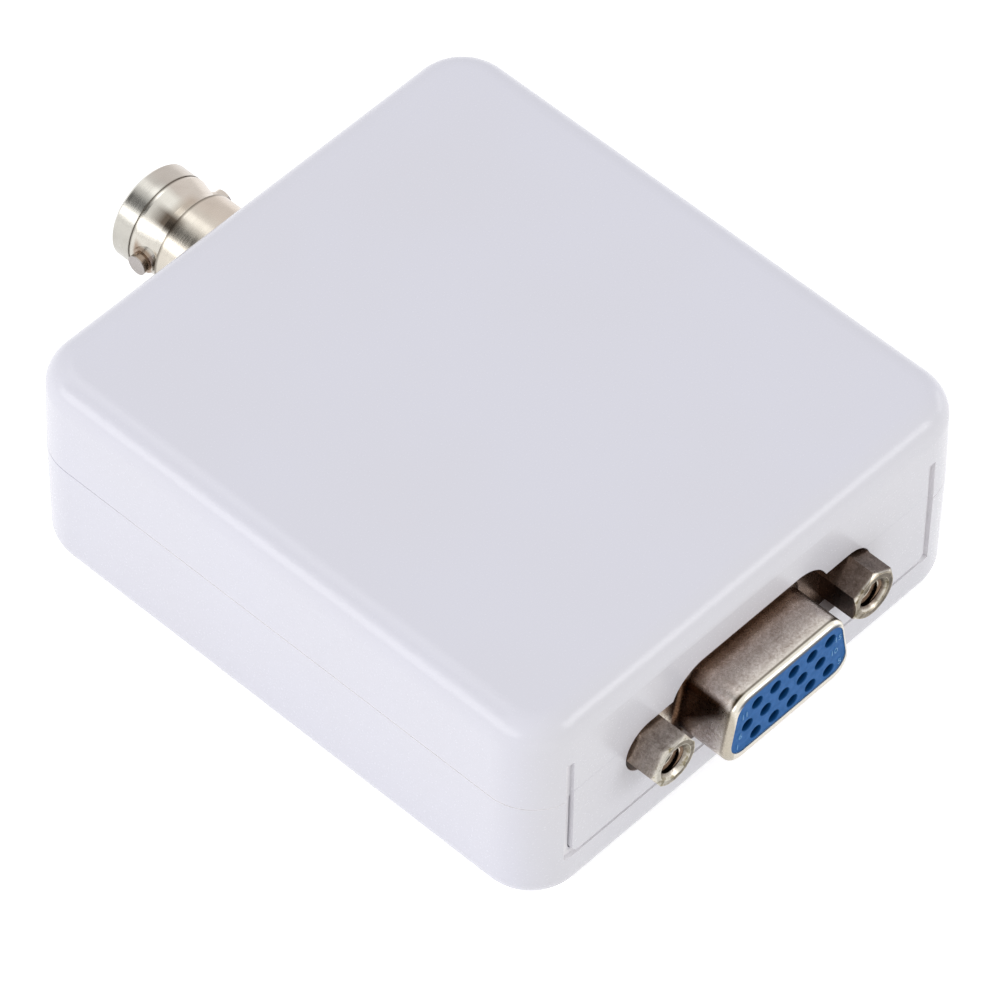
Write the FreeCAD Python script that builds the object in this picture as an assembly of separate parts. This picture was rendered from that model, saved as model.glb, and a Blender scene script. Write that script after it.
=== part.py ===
import FreeCAD, Part
import math
import os

# Case, sizes in millimetres. Front is -Y, up is +Z, the origin is at the middle of the underside.
CASE_WIDTH = 54.8
CASE_DEPTH = 61.0
CASE_HEIGHT = 23.2
CORNER_RADIUS = 5.2
EDGE_FILLET = 2.7
WALL = 2.0
FLOOR = 2.0
DRAFT = 0.11
PARTING_HEIGHT = 13.15
PARTING_GROOVE = 0.1
LIP_INSET = 1.1
LIP_HEIGHT = 1.4
LIP_CLEARANCE = 0.1

# Front tongue of the top shell and the cut-out it drops into
TONGUE_CENTRE_X = -0.5
TONGUE_WIDTH = 44.35
TONGUE_BOTTOM = 5.6
TONGUE_THICKNESS = 1.6
TONGUE_CORNER = 0.8
SLOT_WIDTH = 0.8
SLOT_DEPTH = 0.5
SLOT_TOP = 18.0
TONGUE_CLEARANCE = 0.1
CUTOUT_BOTTOM = 5.05

# Board
BOARD_UNDERSIDE = 4.3
BOARD_THICKNESS = 1.6
BOARD_CLEARANCE = 0.3
BOARD_CORNER = 3.0

# Case screws, from below through the board into the posts of the top shell
SCREW_FROM_SIDE = 5.45
SCREW_FROM_END = 6.9
SCREW_RADIUS = 1.25
SCREW_LENGTH = 13.0
SCREW_HEAD_RADIUS = 2.4
SCREW_HEAD_HEIGHT = 1.6
SCREW_HEAD_BEVEL = 0.4
SCREW_SEAT = 2.3
SCREW_CLEARANCE = 0.3
SCREW_CROSS = 0.9
SCREW_CROSS_DEPTH = 0.9
POST_RADIUS = 3.0
POST_RIB = 1.2
POST_RIB_BOTTOM = 16.0
HOLE_BELOW_SCREW = 1.0

# VGA socket, wide side of the D down
VGA_X = -0.95
VGA_Z = 12.2
DEE_WIDTH = 16.33
DEE_HEIGHT = 7.9
DEE_OFFSET = -0.2
DEE_RADIUS = 2.05
DEE_SLOPE = 10.0
DEE_WALL = 0.45
DEE_RIM = 0.6
DEE_BASE = 0.5
DEE_LOWER_LIP = 0.6
DEE_PROTRUSION = 4.8
FACE_SETBACK = 0.12
OPENING_WIDTH = 19.8
OPENING_ABOVE = 5.35
OPENING_BELOW = 4.75
OPENING_CORNER = 4.0
FLANGE_WIDTH = 30.8
FLANGE_HEIGHT = 12.5
FLANGE_RADIUS = 2.4
FLANGE_SETBACK = 1.15
FLANGE_SHEET = 0.5
FLANGE_CLEARANCE = 0.3
SCREW_SPAN = 24.99
JACK_OPENING_RADIUS = 2.85
FLANGE_HOLE_RADIUS = 1.65

# Contacts of the VGA socket
PIN_PITCH = 2.29
PIN_ROW = 1.98
PINS_PER_ROW = 5
PIN_ENTRY_RADIUS = 0.7
PIN_HOLE_RADIUS = 0.6
PIN_ENTRY_DEPTH = 0.25
PIN_SETBACK = 1.2
PIN_BORE_RADIUS = 0.42
PIN_BORE_DEPTH = 4.0
TAIL_WIDTH = 0.5
TAIL_HOLE_RADIUS = 0.45
TAIL_BELOW_BOARD = 1.0
TAIL_FIRST = 1.2
TAIL_STEP = 1.9
VGA_BLOCK_WIDTH = 19.0
VGA_BLOCK_ABOVE = 5.95
VGA_BLOCK_STANDOFF = 0.35
VGA_BLOCK_DEPTH = 8.8

# Jackscrews, number 4-40 thread
HEX_FLATS = 4.75
HEX_LENGTH = 4.2
HEX_CHAMFER = 0.35
THREAD_RADIUS = 1.42
THREAD_DEPTH = 3.9
THREAD_MOUTH = 1.85
SHANK_RADIUS = 1.22
SHANK_LENGTH = 4.9
HEX_TURNS = (0.0, 30.0)
NUT_RADIUS = 2.4
NUT_LENGTH = 2.5

# Brackets that hold the flange to the board
LOCK_SHEET = 0.8
LOCK_WIDTH = 5.4
LOCK_HEIGHT = 10.6
LOCK_FOOT = 8.2
LOCK_PEG_RADIUS = 1.4
LOCK_PEG_BACK = 5.9
LOCK_PEG_CLEARANCE = 0.15
LOCK_PEG_SLOT = 0.9
LOCK_PEG_BELOW = 1.2

# BNC jack
BNC_X = -0.5
BNC_Z = 12.2
BNC_PROTRUSION = 11.5
BNC_RADIUS = 4.8
BNC_BORE = 4.075
BNC_BORE_DEPTH = 8.4
BNC_FRONT_CHAMFER = 0.3
GROOVE_BACK = 2.27
GROOVE_WIDTH = 0.16
GROOVE_DEPTH = 0.08
WAIST_START = 2.7
WAIST_END = 5.65
WAIST_RADIUS = 4.35
REAR_RADIUS = 4.9
REAR_CLEARANCE = 0.2
LUG_RADIUS = 1.0
LUG_BACK = 4.0
LUG_REACH = 5.5
LUG_PAD_RADIUS = 1.75
LUG_PAD_TOP_RADIUS = 1.25
LUG_PAD_REACH = 4.75
DIELECTRIC_RADIUS = 2.4
DIELECTRIC_SETBACK = 0.5
DIELECTRIC_REAR_RADIUS = 3.0
CENTRE_RADIUS = 1.1
CENTRE_BORE = 0.69
CENTRE_BORE_DEPTH = 5.0
CENTRE_SETBACK = 0.25
CENTRE_SLOT = 0.25
CENTRE_SLOT_DEPTH = 3.5
CENTRE_TUBE = 8.0
CENTRE_TAIL_RADIUS = 0.55
CENTRE_TAIL_BACK = 1.3
BNC_BLOCK_WIDTH = 12.6
BNC_BLOCK_TOP = 18.3
BNC_BLOCK_GAP = 0.3
BNC_BLOCK_DEPTH = 8.7
BNC_POST_RADIUS = 0.8
BNC_POST_X = 5.08
BNC_POST_Y = 2.4
BNC_POST_BELOW = 1.3
POST_HOLE_CLEARANCE = 0.1

# Power socket, mini USB type B
POWER_FROM_SIDE = 13.9
POWER_WIDTH = 7.7
POWER_HEIGHT = 3.9
POWER_DEPTH = 9.2
POWER_SHEET = 0.35
POWER_RADIUS = 0.6
POWER_CLEARANCE = 0.45
POWER_TONGUE_WIDTH = 4.6
POWER_TONGUE_HEIGHT = 0.9
POWER_TONGUE_DROP = 1.35
POWER_BASE_DEPTH = 2.6
POWER_TONGUE_SETBACK = 1.0
POWER_PITCH = 0.8
POWER_CONTACTS = 5
POWER_CONTACT_WIDTH = 0.35
POWER_CONTACT_SHEET = 0.2
POWER_TAIL = 1.4

# Components on the board
CONVERTER_FROM_SIDE = 18.9
CONVERTER_Y = 0.0
CONVERTER_BODY = 14.0
CONVERTER_HEIGHT = 1.5
CONVERTER_LEAD_COUNT = 16
MEMORY_FROM_SIDE = 13.7
MEMORY_Y = -4.0
MEMORY_WIDTH = 10.2
MEMORY_LENGTH = 22.2
MEMORY_HEIGHT = 1.1
MEMORY_LEAD_COUNT = 27
LEAD_PITCH = 0.8
LEAD_WIDTH = 0.35
LEAD_SHEET = 0.15
LEAD_REACH = 1.0
CRYSTAL_FROM_SIDE = 17.9
CRYSTAL_Y = 13.5
CRYSTAL_LENGTH = 11.0
CRYSTAL_WIDTH = 4.6
CRYSTAL_HEIGHT = 3.5
CRYSTAL_BRIM = 0.4
REGULATOR_FROM_SOCKET = 5.3
REGULATOR_BODY = (6.5, 3.5, 1.6)
REGULATOR_LEAD_PITCH = 2.3
REGULATOR_LEAD_WIDTH = 0.7
REGULATOR_TAB_WIDTH = 3.0
REGULATOR_LEAD_REACH = 1.3
CAN_RADIUS = 3.15
CAN_HEIGHT = 5.4
CAN_BASE = 6.6
CAN_BASE_HEIGHT = 0.7
CAN_CORNER = 1.1
CAN_BEVEL = 0.35
CAN_FROM_SIDE = 6.7
CAN_SPACING = 8.0
FIRST_CAN_Y = 5.5
RIGHT_CAN_FROM_BACK = 15.9
CHIP_SIZE = (1.6, 0.8, 0.8)
LEFT_CHIPS = (7.4, (-9.0, -6.6, -4.2))
MIDDLE_CHIPS = (28.9, (-9.5, -7.1, -4.7, 4.5, 6.9))
RIGHT_CHIPS = (5.4, (-6.0, -3.6, 2.0, 4.4))

# Planes that follow from the sizes above
FRONT_FACE = -CASE_DEPTH / 2
BACK_FACE = CASE_DEPTH / 2
BOARD_TOP = BOARD_UNDERSIDE + BOARD_THICKNESS
FLANGE_FACE = FRONT_FACE + FLANGE_SETBACK
REAR_SHELL_FACE = FLANGE_FACE + FLANGE_SHEET
BLOCK_FACE = REAR_SHELL_FACE + FLANGE_SHEET
BNC_FRONT = BACK_FACE + BNC_PROTRUSION
BNC_BLOCK_BACK = BACK_FACE - WALL - BNC_BLOCK_GAP
BNC_BLOCK_FRONT = BNC_BLOCK_BACK - BNC_BLOCK_DEPTH
POWER_MOUTH = BACK_FACE - WALL - BOARD_CLEARANCE
POWER_X = CASE_WIDTH / 2 - POWER_FROM_SIDE
POWER_Z = BOARD_TOP + POWER_HEIGHT / 2
TONGUE_LEFT = TONGUE_CENTRE_X - TONGUE_WIDTH / 2
TONGUE_RIGHT = TONGUE_CENTRE_X + TONGUE_WIDTH / 2
SCREW_X = CASE_WIDTH / 2 - SCREW_FROM_SIDE
SCREW_Y = CASE_DEPTH / 2 - SCREW_FROM_END
SCREW_PLACES = [(x, y) for x in (-SCREW_X, SCREW_X) for y in (-SCREW_Y, SCREW_Y)]
JACK_PLACES = (VGA_X - SCREW_SPAN / 2, VGA_X + SCREW_SPAN / 2)
DEE_X = VGA_X + DEE_OFFSET
CONVERTER_AT = (CONVERTER_FROM_SIDE - CASE_WIDTH / 2, CONVERTER_Y)
MEMORY_AT = (CASE_WIDTH / 2 - MEMORY_FROM_SIDE, MEMORY_Y)
CRYSTAL_AT = (CRYSTAL_FROM_SIDE - CASE_WIDTH / 2, CRYSTAL_Y)
REGULATOR_AT = (POWER_X, POWER_MOUTH - POWER_DEPTH - REGULATOR_FROM_SOCKET)
CAN_PLACES = ((CAN_FROM_SIDE - CASE_WIDTH / 2, FIRST_CAN_Y),
              (CAN_FROM_SIDE - CASE_WIDTH / 2, FIRST_CAN_Y + CAN_SPACING),
              (CASE_WIDTH / 2 - CAN_FROM_SIDE, BACK_FACE - RIGHT_CAN_FROM_BACK))
CHIP_PLACES = ([(LEFT_CHIPS[0] - CASE_WIDTH / 2, y) for y in LEFT_CHIPS[1]]
               + [(MIDDLE_CHIPS[0] - CASE_WIDTH / 2, y) for y in MIDDLE_CHIPS[1]]
               + [(CASE_WIDTH / 2 - RIGHT_CHIPS[0], y) for y in RIGHT_CHIPS[1]])
MARGIN = 1.0
SAME_PLANE = 1e-4

X_AXIS = FreeCAD.Vector(1, 0, 0)
Y_AXIS = FreeCAD.Vector(0, 1, 0)
Z_AXIS = FreeCAD.Vector(0, 0, 1)


def block(x0, x1, y0, y1, z0, z1):
    return Part.makeBox(x1 - x0, y1 - y0, z1 - z0, FreeCAD.Vector(x0, y0, z0))


def rod_x(x0, x1, y, z, radius):
    return Part.makeCylinder(radius, x1 - x0, FreeCAD.Vector(x0, y, z), X_AXIS)


def rod_y(x, y0, y1, z, radius):
    return Part.makeCylinder(radius, y1 - y0, FreeCAD.Vector(x, y0, z), Y_AXIS)


def rod_z(x, y, z0, z1, radius):
    return Part.makeCylinder(radius, z1 - z0, FreeCAD.Vector(x, y, z0), Z_AXIS)


def rounded_wire(points, radius):
    """Closed wire through convex corners, each rounded by an arc of the same radius."""
    corners = [FreeCAD.Vector(*p) for p in points]
    count = len(corners)
    starts, middles, ends = [], [], []
    for i, corner in enumerate(corners):
        before = (corners[i - 1] - corner).normalize()
        after = (corners[(i + 1) % count] - corner).normalize()
        half = before.getAngle(after) / 2
        reach = radius / math.tan(half)
        bisector = (before + after).normalize()
        starts.append(corner + before * reach)
        ends.append(corner + after * reach)
        middles.append(corner + bisector * (radius / math.sin(half) - radius))
    edges = []
    for i in range(count):
        edges.append(Part.Arc(starts[i], middles[i], ends[i]).toShape())
        edges.append(Part.LineSegment(ends[i], starts[(i + 1) % count]).toShape())
    return Part.Wire(edges)


def plan_wire(inset, z, radius):
    """Rounded outline of the case seen from above, inset from its outer walls."""
    x = CASE_WIDTH / 2 - inset
    y = CASE_DEPTH / 2 - inset
    return rounded_wire([(-x, -y, z), (x, -y, z), (x, y, z), (-x, y, z)], radius)


def plan_prism(inset, z0, z1, radius):
    return Part.Face(plan_wire(inset, z0, radius)).extrude(FreeCAD.Vector(0, 0, z1 - z0))


def front_rectangle(x, z, width, height, radius, y0, y1):
    """Rounded plate that stands across the Y axis."""
    w = width / 2
    h = height / 2
    points = [(x - w, y0, z - h), (x + w, y0, z - h), (x + w, y0, z + h), (x - w, y0, z + h)]
    return Part.Face(rounded_wire(points, radius)).extrude(FreeCAD.Vector(0, y1 - y0, 0))


def dee(growth, y0, y1, raised=0):
    """D-shaped prism of the VGA socket, grown all round, wide side down; its bottom can be raised."""
    lean = math.tan(math.radians(DEE_SLOPE))
    bottom = VGA_Z - DEE_HEIGHT / 2 - growth
    top = VGA_Z + DEE_HEIGHT / 2 + growth
    side = growth / math.cos(math.radians(DEE_SLOPE)) + growth * lean
    wide = DEE_WIDTH / 2 + side
    narrow = wide - (top - bottom) * lean
    wide -= raised * lean
    bottom += raised
    points = [(DEE_X - wide, y0, bottom), (DEE_X + wide, y0, bottom),
              (DEE_X + narrow, y0, top), (DEE_X - narrow, y0, top)]
    return Part.Face(rounded_wire(points, DEE_RADIUS + growth)).extrude(FreeCAD.Vector(0, y1 - y0, 0))


def edges_at_height(shape, z):
    flat = [e for e in shape.Edges if abs(e.BoundBox.ZMin - z) < SAME_PLANE and abs(e.BoundBox.ZMax - z) < SAME_PLANE]
    return flat


def edges_at_depth(shape, y):
    flat = [e for e in shape.Edges if abs(e.BoundBox.YMin - y) < SAME_PLANE and abs(e.BoundBox.YMax - y) < SAME_PLANE]
    return flat


def lip_band(outer_inset, z0, z1, clearance):
    """Band inside the wall that locates the shells, open at the tongue and round the BNC jack."""
    outer = plan_prism(outer_inset, z0, z1, CORNER_RADIUS - outer_inset)
    inner = plan_prism(WALL, z0 - MARGIN, z1 + MARGIN, CORNER_RADIUS - WALL)
    band = outer.cut(inner)
    gap = 2 * SLOT_WIDTH - clearance
    front = block(TONGUE_LEFT - gap, TONGUE_RIGHT + gap, FRONT_FACE - MARGIN,
                  FRONT_FACE + WALL + MARGIN, z0 - MARGIN, z1 + MARGIN)
    reach = REAR_RADIUS + 2 * MARGIN - clearance
    back = block(BNC_X - reach, BNC_X + reach, BACK_FACE - WALL - MARGIN, BACK_FACE + MARGIN,
                 z0 - MARGIN, z1 + MARGIN)
    return band.cut(front).cut(back)


def parting_groove():
    """Hairline groove round the sides where the two shells meet."""
    z0 = PARTING_HEIGHT - PARTING_GROOVE / 2
    z1 = PARTING_HEIGHT + PARTING_GROOVE / 2
    outer = plan_prism(-MARGIN, z0, z1, CORNER_RADIUS + MARGIN)
    inner = plan_prism(PARTING_GROOVE, z0 - MARGIN, z1 + MARGIN, CORNER_RADIUS - PARTING_GROOVE)
    return outer.cut(inner)


def vga_opening():
    """Hole in the tongue: a rounded window round the D-shell, and a slot round both jackscrews."""
    y0 = FRONT_FACE - MARGIN
    y1 = FRONT_FACE + WALL + MARGIN
    hole = front_rectangle(VGA_X, VGA_Z + (OPENING_ABOVE - OPENING_BELOW) / 2, OPENING_WIDTH,
                           OPENING_ABOVE + OPENING_BELOW, OPENING_CORNER, y0, y1)
    hole = hole.fuse(block(JACK_PLACES[0], JACK_PLACES[1], y0, y1, VGA_Z - JACK_OPENING_RADIUS,
                           VGA_Z + JACK_OPENING_RADIUS))
    for x in JACK_PLACES:
        hole = hole.fuse(rod_y(x, y0, y1, VGA_Z, JACK_OPENING_RADIUS))
    return hole.removeSplitter()


def flange_pocket():
    """Recess behind the tongue in which the flange of the VGA socket lies."""
    reach = FLANGE_WIDTH / 2 + FLANGE_CLEARANCE
    top = VGA_Z + FLANGE_HEIGHT / 2 + FLANGE_CLEARANCE
    return block(VGA_X - reach, VGA_X + reach, FLANGE_FACE, FRONT_FACE + WALL + MARGIN,
                 TONGUE_BOTTOM - MARGIN, top)


def tongue(growth, y0, y1):
    """Plate of the tongue with its two rounded lower corners, grown at its sides and bottom."""
    plate = block(TONGUE_LEFT - growth, TONGUE_RIGHT + growth, y0, y1,
                  TONGUE_BOTTOM - growth, PARTING_HEIGHT + MARGIN)
    lower = [e for e in plate.Edges if e.BoundBox.ZMax < TONGUE_BOTTOM - growth + SAME_PLANE
             and e.BoundBox.XLength < SAME_PLANE]
    return plate.makeFillet(TONGUE_CORNER + growth, lower)


def top_shell():
    outer = Part.makeLoft([plan_wire(0, PARTING_HEIGHT, CORNER_RADIUS),
                           plan_wire(DRAFT, CASE_HEIGHT, CORNER_RADIUS)], True, True)
    outer = outer.makeFillet(EDGE_FILLET, edges_at_height(outer, CASE_HEIGHT))
    cavity = plan_prism(WALL, PARTING_HEIGHT - MARGIN, CASE_HEIGHT - FLOOR, CORNER_RADIUS - WALL)
    shell = outer.cut(cavity)
    for x, y in SCREW_PLACES:
        post = rod_z(x, y, BOARD_TOP, CASE_HEIGHT - FLOOR, POST_RADIUS)
        wall_x = math.copysign(CASE_WIDTH / 2 - WALL, x)
        rib = block(min(x, wall_x), max(x, wall_x), y - POST_RIB / 2, y + POST_RIB / 2,
                    POST_RIB_BOTTOM, CASE_HEIGHT - FLOOR)
        shell = shell.fuse(post).fuse(rib)
    shell = shell.fuse(tongue(0, FRONT_FACE, FRONT_FACE + TONGUE_THICKNESS))
    for x0, x1 in ((TONGUE_LEFT - SLOT_WIDTH, TONGUE_LEFT), (TONGUE_RIGHT, TONGUE_RIGHT + SLOT_WIDTH)):
        shell = shell.cut(block(x0, x1, FRONT_FACE - MARGIN, FRONT_FACE + SLOT_DEPTH,
                                PARTING_HEIGHT - MARGIN, SLOT_TOP))
    shell = shell.cut(lip_band(LIP_INSET - LIP_CLEARANCE, PARTING_HEIGHT - MARGIN,
                               PARTING_HEIGHT + LIP_HEIGHT + LIP_CLEARANCE, LIP_CLEARANCE))
    shell = shell.cut(flange_pocket()).cut(vga_opening())
    shell = shell.cut(rod_y(BNC_X, BACK_FACE - WALL - MARGIN, BACK_FACE + MARGIN, BNC_Z,
                            REAR_RADIUS + REAR_CLEARANCE))
    for x, y in SCREW_PLACES:
        depth = SCREW_SEAT + SCREW_LENGTH + HOLE_BELOW_SCREW
        shell = shell.cut(rod_z(x, y, BOARD_TOP - MARGIN, depth, SCREW_RADIUS))
    keep_tongue = block(TONGUE_LEFT - SLOT_WIDTH, TONGUE_RIGHT + SLOT_WIDTH, FRONT_FACE - 2 * MARGIN,
                        FRONT_FACE + WALL, 0, CASE_HEIGHT)
    return shell.cut(parting_groove().cut(keep_tongue)).removeSplitter()


def bottom_shell():
    outer = Part.makeLoft([plan_wire(DRAFT, 0, CORNER_RADIUS),
                           plan_wire(0, PARTING_HEIGHT, CORNER_RADIUS)], True, True)
    outer = outer.makeFillet(EDGE_FILLET, edges_at_height(outer, 0))
    cavity = plan_prism(WALL, FLOOR, PARTING_HEIGHT + MARGIN, CORNER_RADIUS - WALL)
    shell = outer.cut(cavity)
    shell = shell.fuse(lip_band(LIP_INSET, PARTING_HEIGHT - MARGIN, PARTING_HEIGHT + LIP_HEIGHT, 0))
    for x, y in SCREW_PLACES:
        shell = shell.fuse(rod_z(x, y, FLOOR, BOARD_UNDERSIDE, POST_RADIUS))
    shell = shell.cut(block(TONGUE_LEFT - SLOT_WIDTH, TONGUE_RIGHT + SLOT_WIDTH, FRONT_FACE - MARGIN,
                            FRONT_FACE + SLOT_DEPTH, CUTOUT_BOTTOM, PARTING_HEIGHT + MARGIN))
    shell = shell.cut(tongue(TONGUE_CLEARANCE, FRONT_FACE - MARGIN, FRONT_FACE + WALL))
    hole = REAR_RADIUS + REAR_CLEARANCE
    shell = shell.cut(rod_y(BNC_X, BACK_FACE - WALL - MARGIN, BACK_FACE + MARGIN, BNC_Z, hole))
    shell = shell.cut(block(BNC_X - hole, BNC_X + hole, BACK_FACE - WALL - MARGIN, BACK_FACE + MARGIN,
                            BNC_Z, PARTING_HEIGHT + MARGIN))
    shell = shell.cut(front_rectangle(POWER_X, POWER_Z, POWER_WIDTH + 2 * POWER_CLEARANCE,
                                      POWER_HEIGHT + 2 * POWER_CLEARANCE, POWER_RADIUS + POWER_CLEARANCE,
                                      BACK_FACE - WALL - MARGIN, BACK_FACE + MARGIN))
    for x, y in SCREW_PLACES:
        shell = shell.cut(rod_z(x, y, -MARGIN, SCREW_SEAT, SCREW_HEAD_RADIUS + SCREW_CLEARANCE))
        shell = shell.cut(rod_z(x, y, 0, BOARD_UNDERSIDE + MARGIN, SCREW_RADIUS + SCREW_CLEARANCE))
    return shell.cut(parting_groove()).removeSplitter()


def case_screws():
    screws = []
    for x, y in SCREW_PLACES:
        head = rod_z(x, y, SCREW_SEAT - SCREW_HEAD_HEIGHT, SCREW_SEAT, SCREW_HEAD_RADIUS)
        head = head.makeChamfer(SCREW_HEAD_BEVEL, edges_at_height(head, SCREW_SEAT - SCREW_HEAD_HEIGHT))
        half = SCREW_CROSS / 2
        arm = 3 * half
        z0 = SCREW_SEAT - SCREW_HEAD_HEIGHT - MARGIN
        z1 = SCREW_SEAT - SCREW_HEAD_HEIGHT + SCREW_CROSS_DEPTH
        cross = block(x - arm, x + arm, y - half, y + half, z0, z1)
        cross = cross.fuse(block(x - half, x + half, y - arm, y + arm, z0, z1))
        tip = SCREW_SEAT + SCREW_LENGTH
        shank = rod_z(x, y, SCREW_SEAT, tip - SCREW_RADIUS, SCREW_RADIUS)
        point = Part.makeCone(SCREW_RADIUS, SCREW_RADIUS / 4, SCREW_RADIUS,
                              FreeCAD.Vector(x, y, tip - SCREW_RADIUS), Z_AXIS)
        screws.append(head.fuse(shank).fuse(point).cut(cross).removeSplitter())
    return Part.makeCompound(screws)


def pin_places():
    """Centre of each VGA contact and its row, counted from the bottom row."""
    places = []
    for row in range(3):
        shift = PIN_PITCH / 4 if row != 1 else -PIN_PITCH / 4
        for k in range(PINS_PER_ROW):
            x = DEE_X + shift + (k - (PINS_PER_ROW - 1) / 2) * PIN_PITCH
            places.append((x, VGA_Z + (row - 1) * PIN_ROW, row))
    return places


def tail_depth(row):
    return BLOCK_FACE + VGA_BLOCK_DEPTH + TAIL_FIRST + row * TAIL_STEP


def contact_tail(x, z, row):
    """Square wire from the back of a contact to the board, bent down behind the block."""
    half = TAIL_WIDTH / 2
    back = tail_depth(row)
    run = block(x - half, x + half, BLOCK_FACE, back + half, z - half, z + half)
    drop = block(x - half, x + half, back - half, back + half, BOARD_UNDERSIDE - TAIL_BELOW_BOARD, z + half)
    return run.fuse(drop)


def vga_contacts():
    face = FRONT_FACE - DEE_PROTRUSION + FACE_SETBACK
    contacts = []
    for x, z, row in pin_places():
        start = face + PIN_SETBACK
        tube = rod_y(x, start, BLOCK_FACE, z, PIN_HOLE_RADIUS)
        tube = tube.cut(rod_y(x, start - MARGIN, start + PIN_BORE_DEPTH, z, PIN_BORE_RADIUS))
        contacts.append(tube.fuse(contact_tail(x, z, row)).removeSplitter())
    return Part.makeCompound(contacts)


def vga_insulator():
    face = FRONT_FACE - DEE_PROTRUSION + FACE_SETBACK
    body = dee(-DEE_WALL, face, BLOCK_FACE)
    body = body.fuse(block(DEE_X - VGA_BLOCK_WIDTH / 2, DEE_X + VGA_BLOCK_WIDTH / 2, BLOCK_FACE,
                           BLOCK_FACE + VGA_BLOCK_DEPTH, BOARD_TOP + VGA_BLOCK_STANDOFF,
                           VGA_Z + VGA_BLOCK_ABOVE))
    for x, z, row in pin_places():
        body = body.cut(rod_y(x, face - MARGIN, BLOCK_FACE, z, PIN_HOLE_RADIUS))
        body = body.cut(Part.makeCone(PIN_ENTRY_RADIUS, PIN_HOLE_RADIUS, PIN_ENTRY_DEPTH,
                                      FreeCAD.Vector(x, face, z), Y_AXIS))
        body = body.cut(contact_tail(x, z, row))
    return body.removeSplitter()


def vga_shell():
    """Drawn D-shell with its rim turned in, one piece with the front half of the flange."""
    front = FRONT_FACE - DEE_PROTRUSION
    outer = dee(0, front, FLANGE_FACE + FLANGE_SHEET)
    outer = outer.makeFillet(DEE_RIM, edges_at_depth(outer, front))
    flange = front_rectangle(VGA_X, VGA_Z, FLANGE_WIDTH, FLANGE_HEIGHT, FLANGE_RADIUS,
                             FLANGE_FACE, FLANGE_FACE + FLANGE_SHEET)
    shell = outer.fuse(flange).removeSplitter()
    base = [e for e in edges_at_depth(shell, FLANGE_FACE) if abs(e.BoundBox.Center.x - DEE_X) < DEE_WIDTH / 2
            and abs(e.BoundBox.Center.z - VGA_Z) < (DEE_HEIGHT + DEE_WALL) / 2]
    shell = shell.makeFillet(DEE_BASE, base)
    shell = shell.cut(dee(-DEE_WALL, front + FACE_SETBACK, FLANGE_FACE + MARGIN))
    shell = shell.cut(dee(-DEE_WALL, front - MARGIN, FLANGE_FACE, DEE_LOWER_LIP))
    for x in JACK_PLACES:
        shell = shell.cut(rod_y(x, FLANGE_FACE - MARGIN, FLANGE_FACE + MARGIN, VGA_Z, FLANGE_HOLE_RADIUS))
    return shell.removeSplitter()


def vga_rear_shell():
    """Rear half of the flange, with four tabs that fold over the front half's edge."""
    plate = front_rectangle(VGA_X, VGA_Z, FLANGE_WIDTH, FLANGE_HEIGHT, FLANGE_RADIUS,
                            REAR_SHELL_FACE, BLOCK_FACE)
    plate = plate.cut(dee(-DEE_WALL, REAR_SHELL_FACE - MARGIN, BLOCK_FACE + MARGIN))
    for x in JACK_PLACES:
        plate = plate.cut(rod_y(x, REAR_SHELL_FACE - MARGIN, BLOCK_FACE + MARGIN, VGA_Z, FLANGE_HOLE_RADIUS))
    return plate.removeSplitter()


def hexagon(x, turn, y0, y1):
    reach = HEX_FLATS / 2 / math.cos(math.radians(30))
    points = []
    for k in range(7):
        angle = math.radians(turn + 60 * k)
        points.append(FreeCAD.Vector(x + reach * math.cos(angle), y0, VGA_Z + reach * math.sin(angle)))
    return Part.Face(Part.makePolygon(points)).extrude(FreeCAD.Vector(0, y1 - y0, 0))


def jackscrews():
    """Hexagon heads with a threaded hole in front and a threaded shank behind."""
    screws = []
    reach = HEX_FLATS / 2 / math.cos(math.radians(30))
    front = FLANGE_FACE - HEX_LENGTH
    for x, turn in zip(JACK_PLACES, HEX_TURNS):
        head = hexagon(x, turn, front, FLANGE_FACE)
        nose = Part.makeCone(reach - HEX_CHAMFER, reach, HEX_CHAMFER, FreeCAD.Vector(x, front, VGA_Z), Y_AXIS)
        nose = nose.fuse(rod_y(x, front + HEX_CHAMFER, FLANGE_FACE, VGA_Z, reach))
        head = head.common(nose)
        screw = head.fuse(rod_y(x, FLANGE_FACE, FLANGE_FACE + SHANK_LENGTH, VGA_Z, SHANK_RADIUS))
        screw = screw.cut(rod_y(x, front - MARGIN, front + THREAD_DEPTH, VGA_Z, THREAD_RADIUS))
        screw = screw.cut(Part.makeCone(THREAD_MOUTH, THREAD_RADIUS, THREAD_MOUTH - THREAD_RADIUS,
                                        FreeCAD.Vector(x, front, VGA_Z), Y_AXIS))
        screws.append(screw.removeSplitter())
    return Part.makeCompound(screws)


def vga_nuts():
    y0 = BLOCK_FACE + LOCK_SHEET
    nuts = []
    for x in JACK_PLACES:
        nut = rod_y(x, y0, y0 + NUT_LENGTH, VGA_Z, NUT_RADIUS)
        nuts.append(nut.cut(rod_y(x, y0 - MARGIN, y0 + NUT_LENGTH + MARGIN, VGA_Z, SHANK_RADIUS)))
    return Part.makeCompound(nuts)


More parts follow.
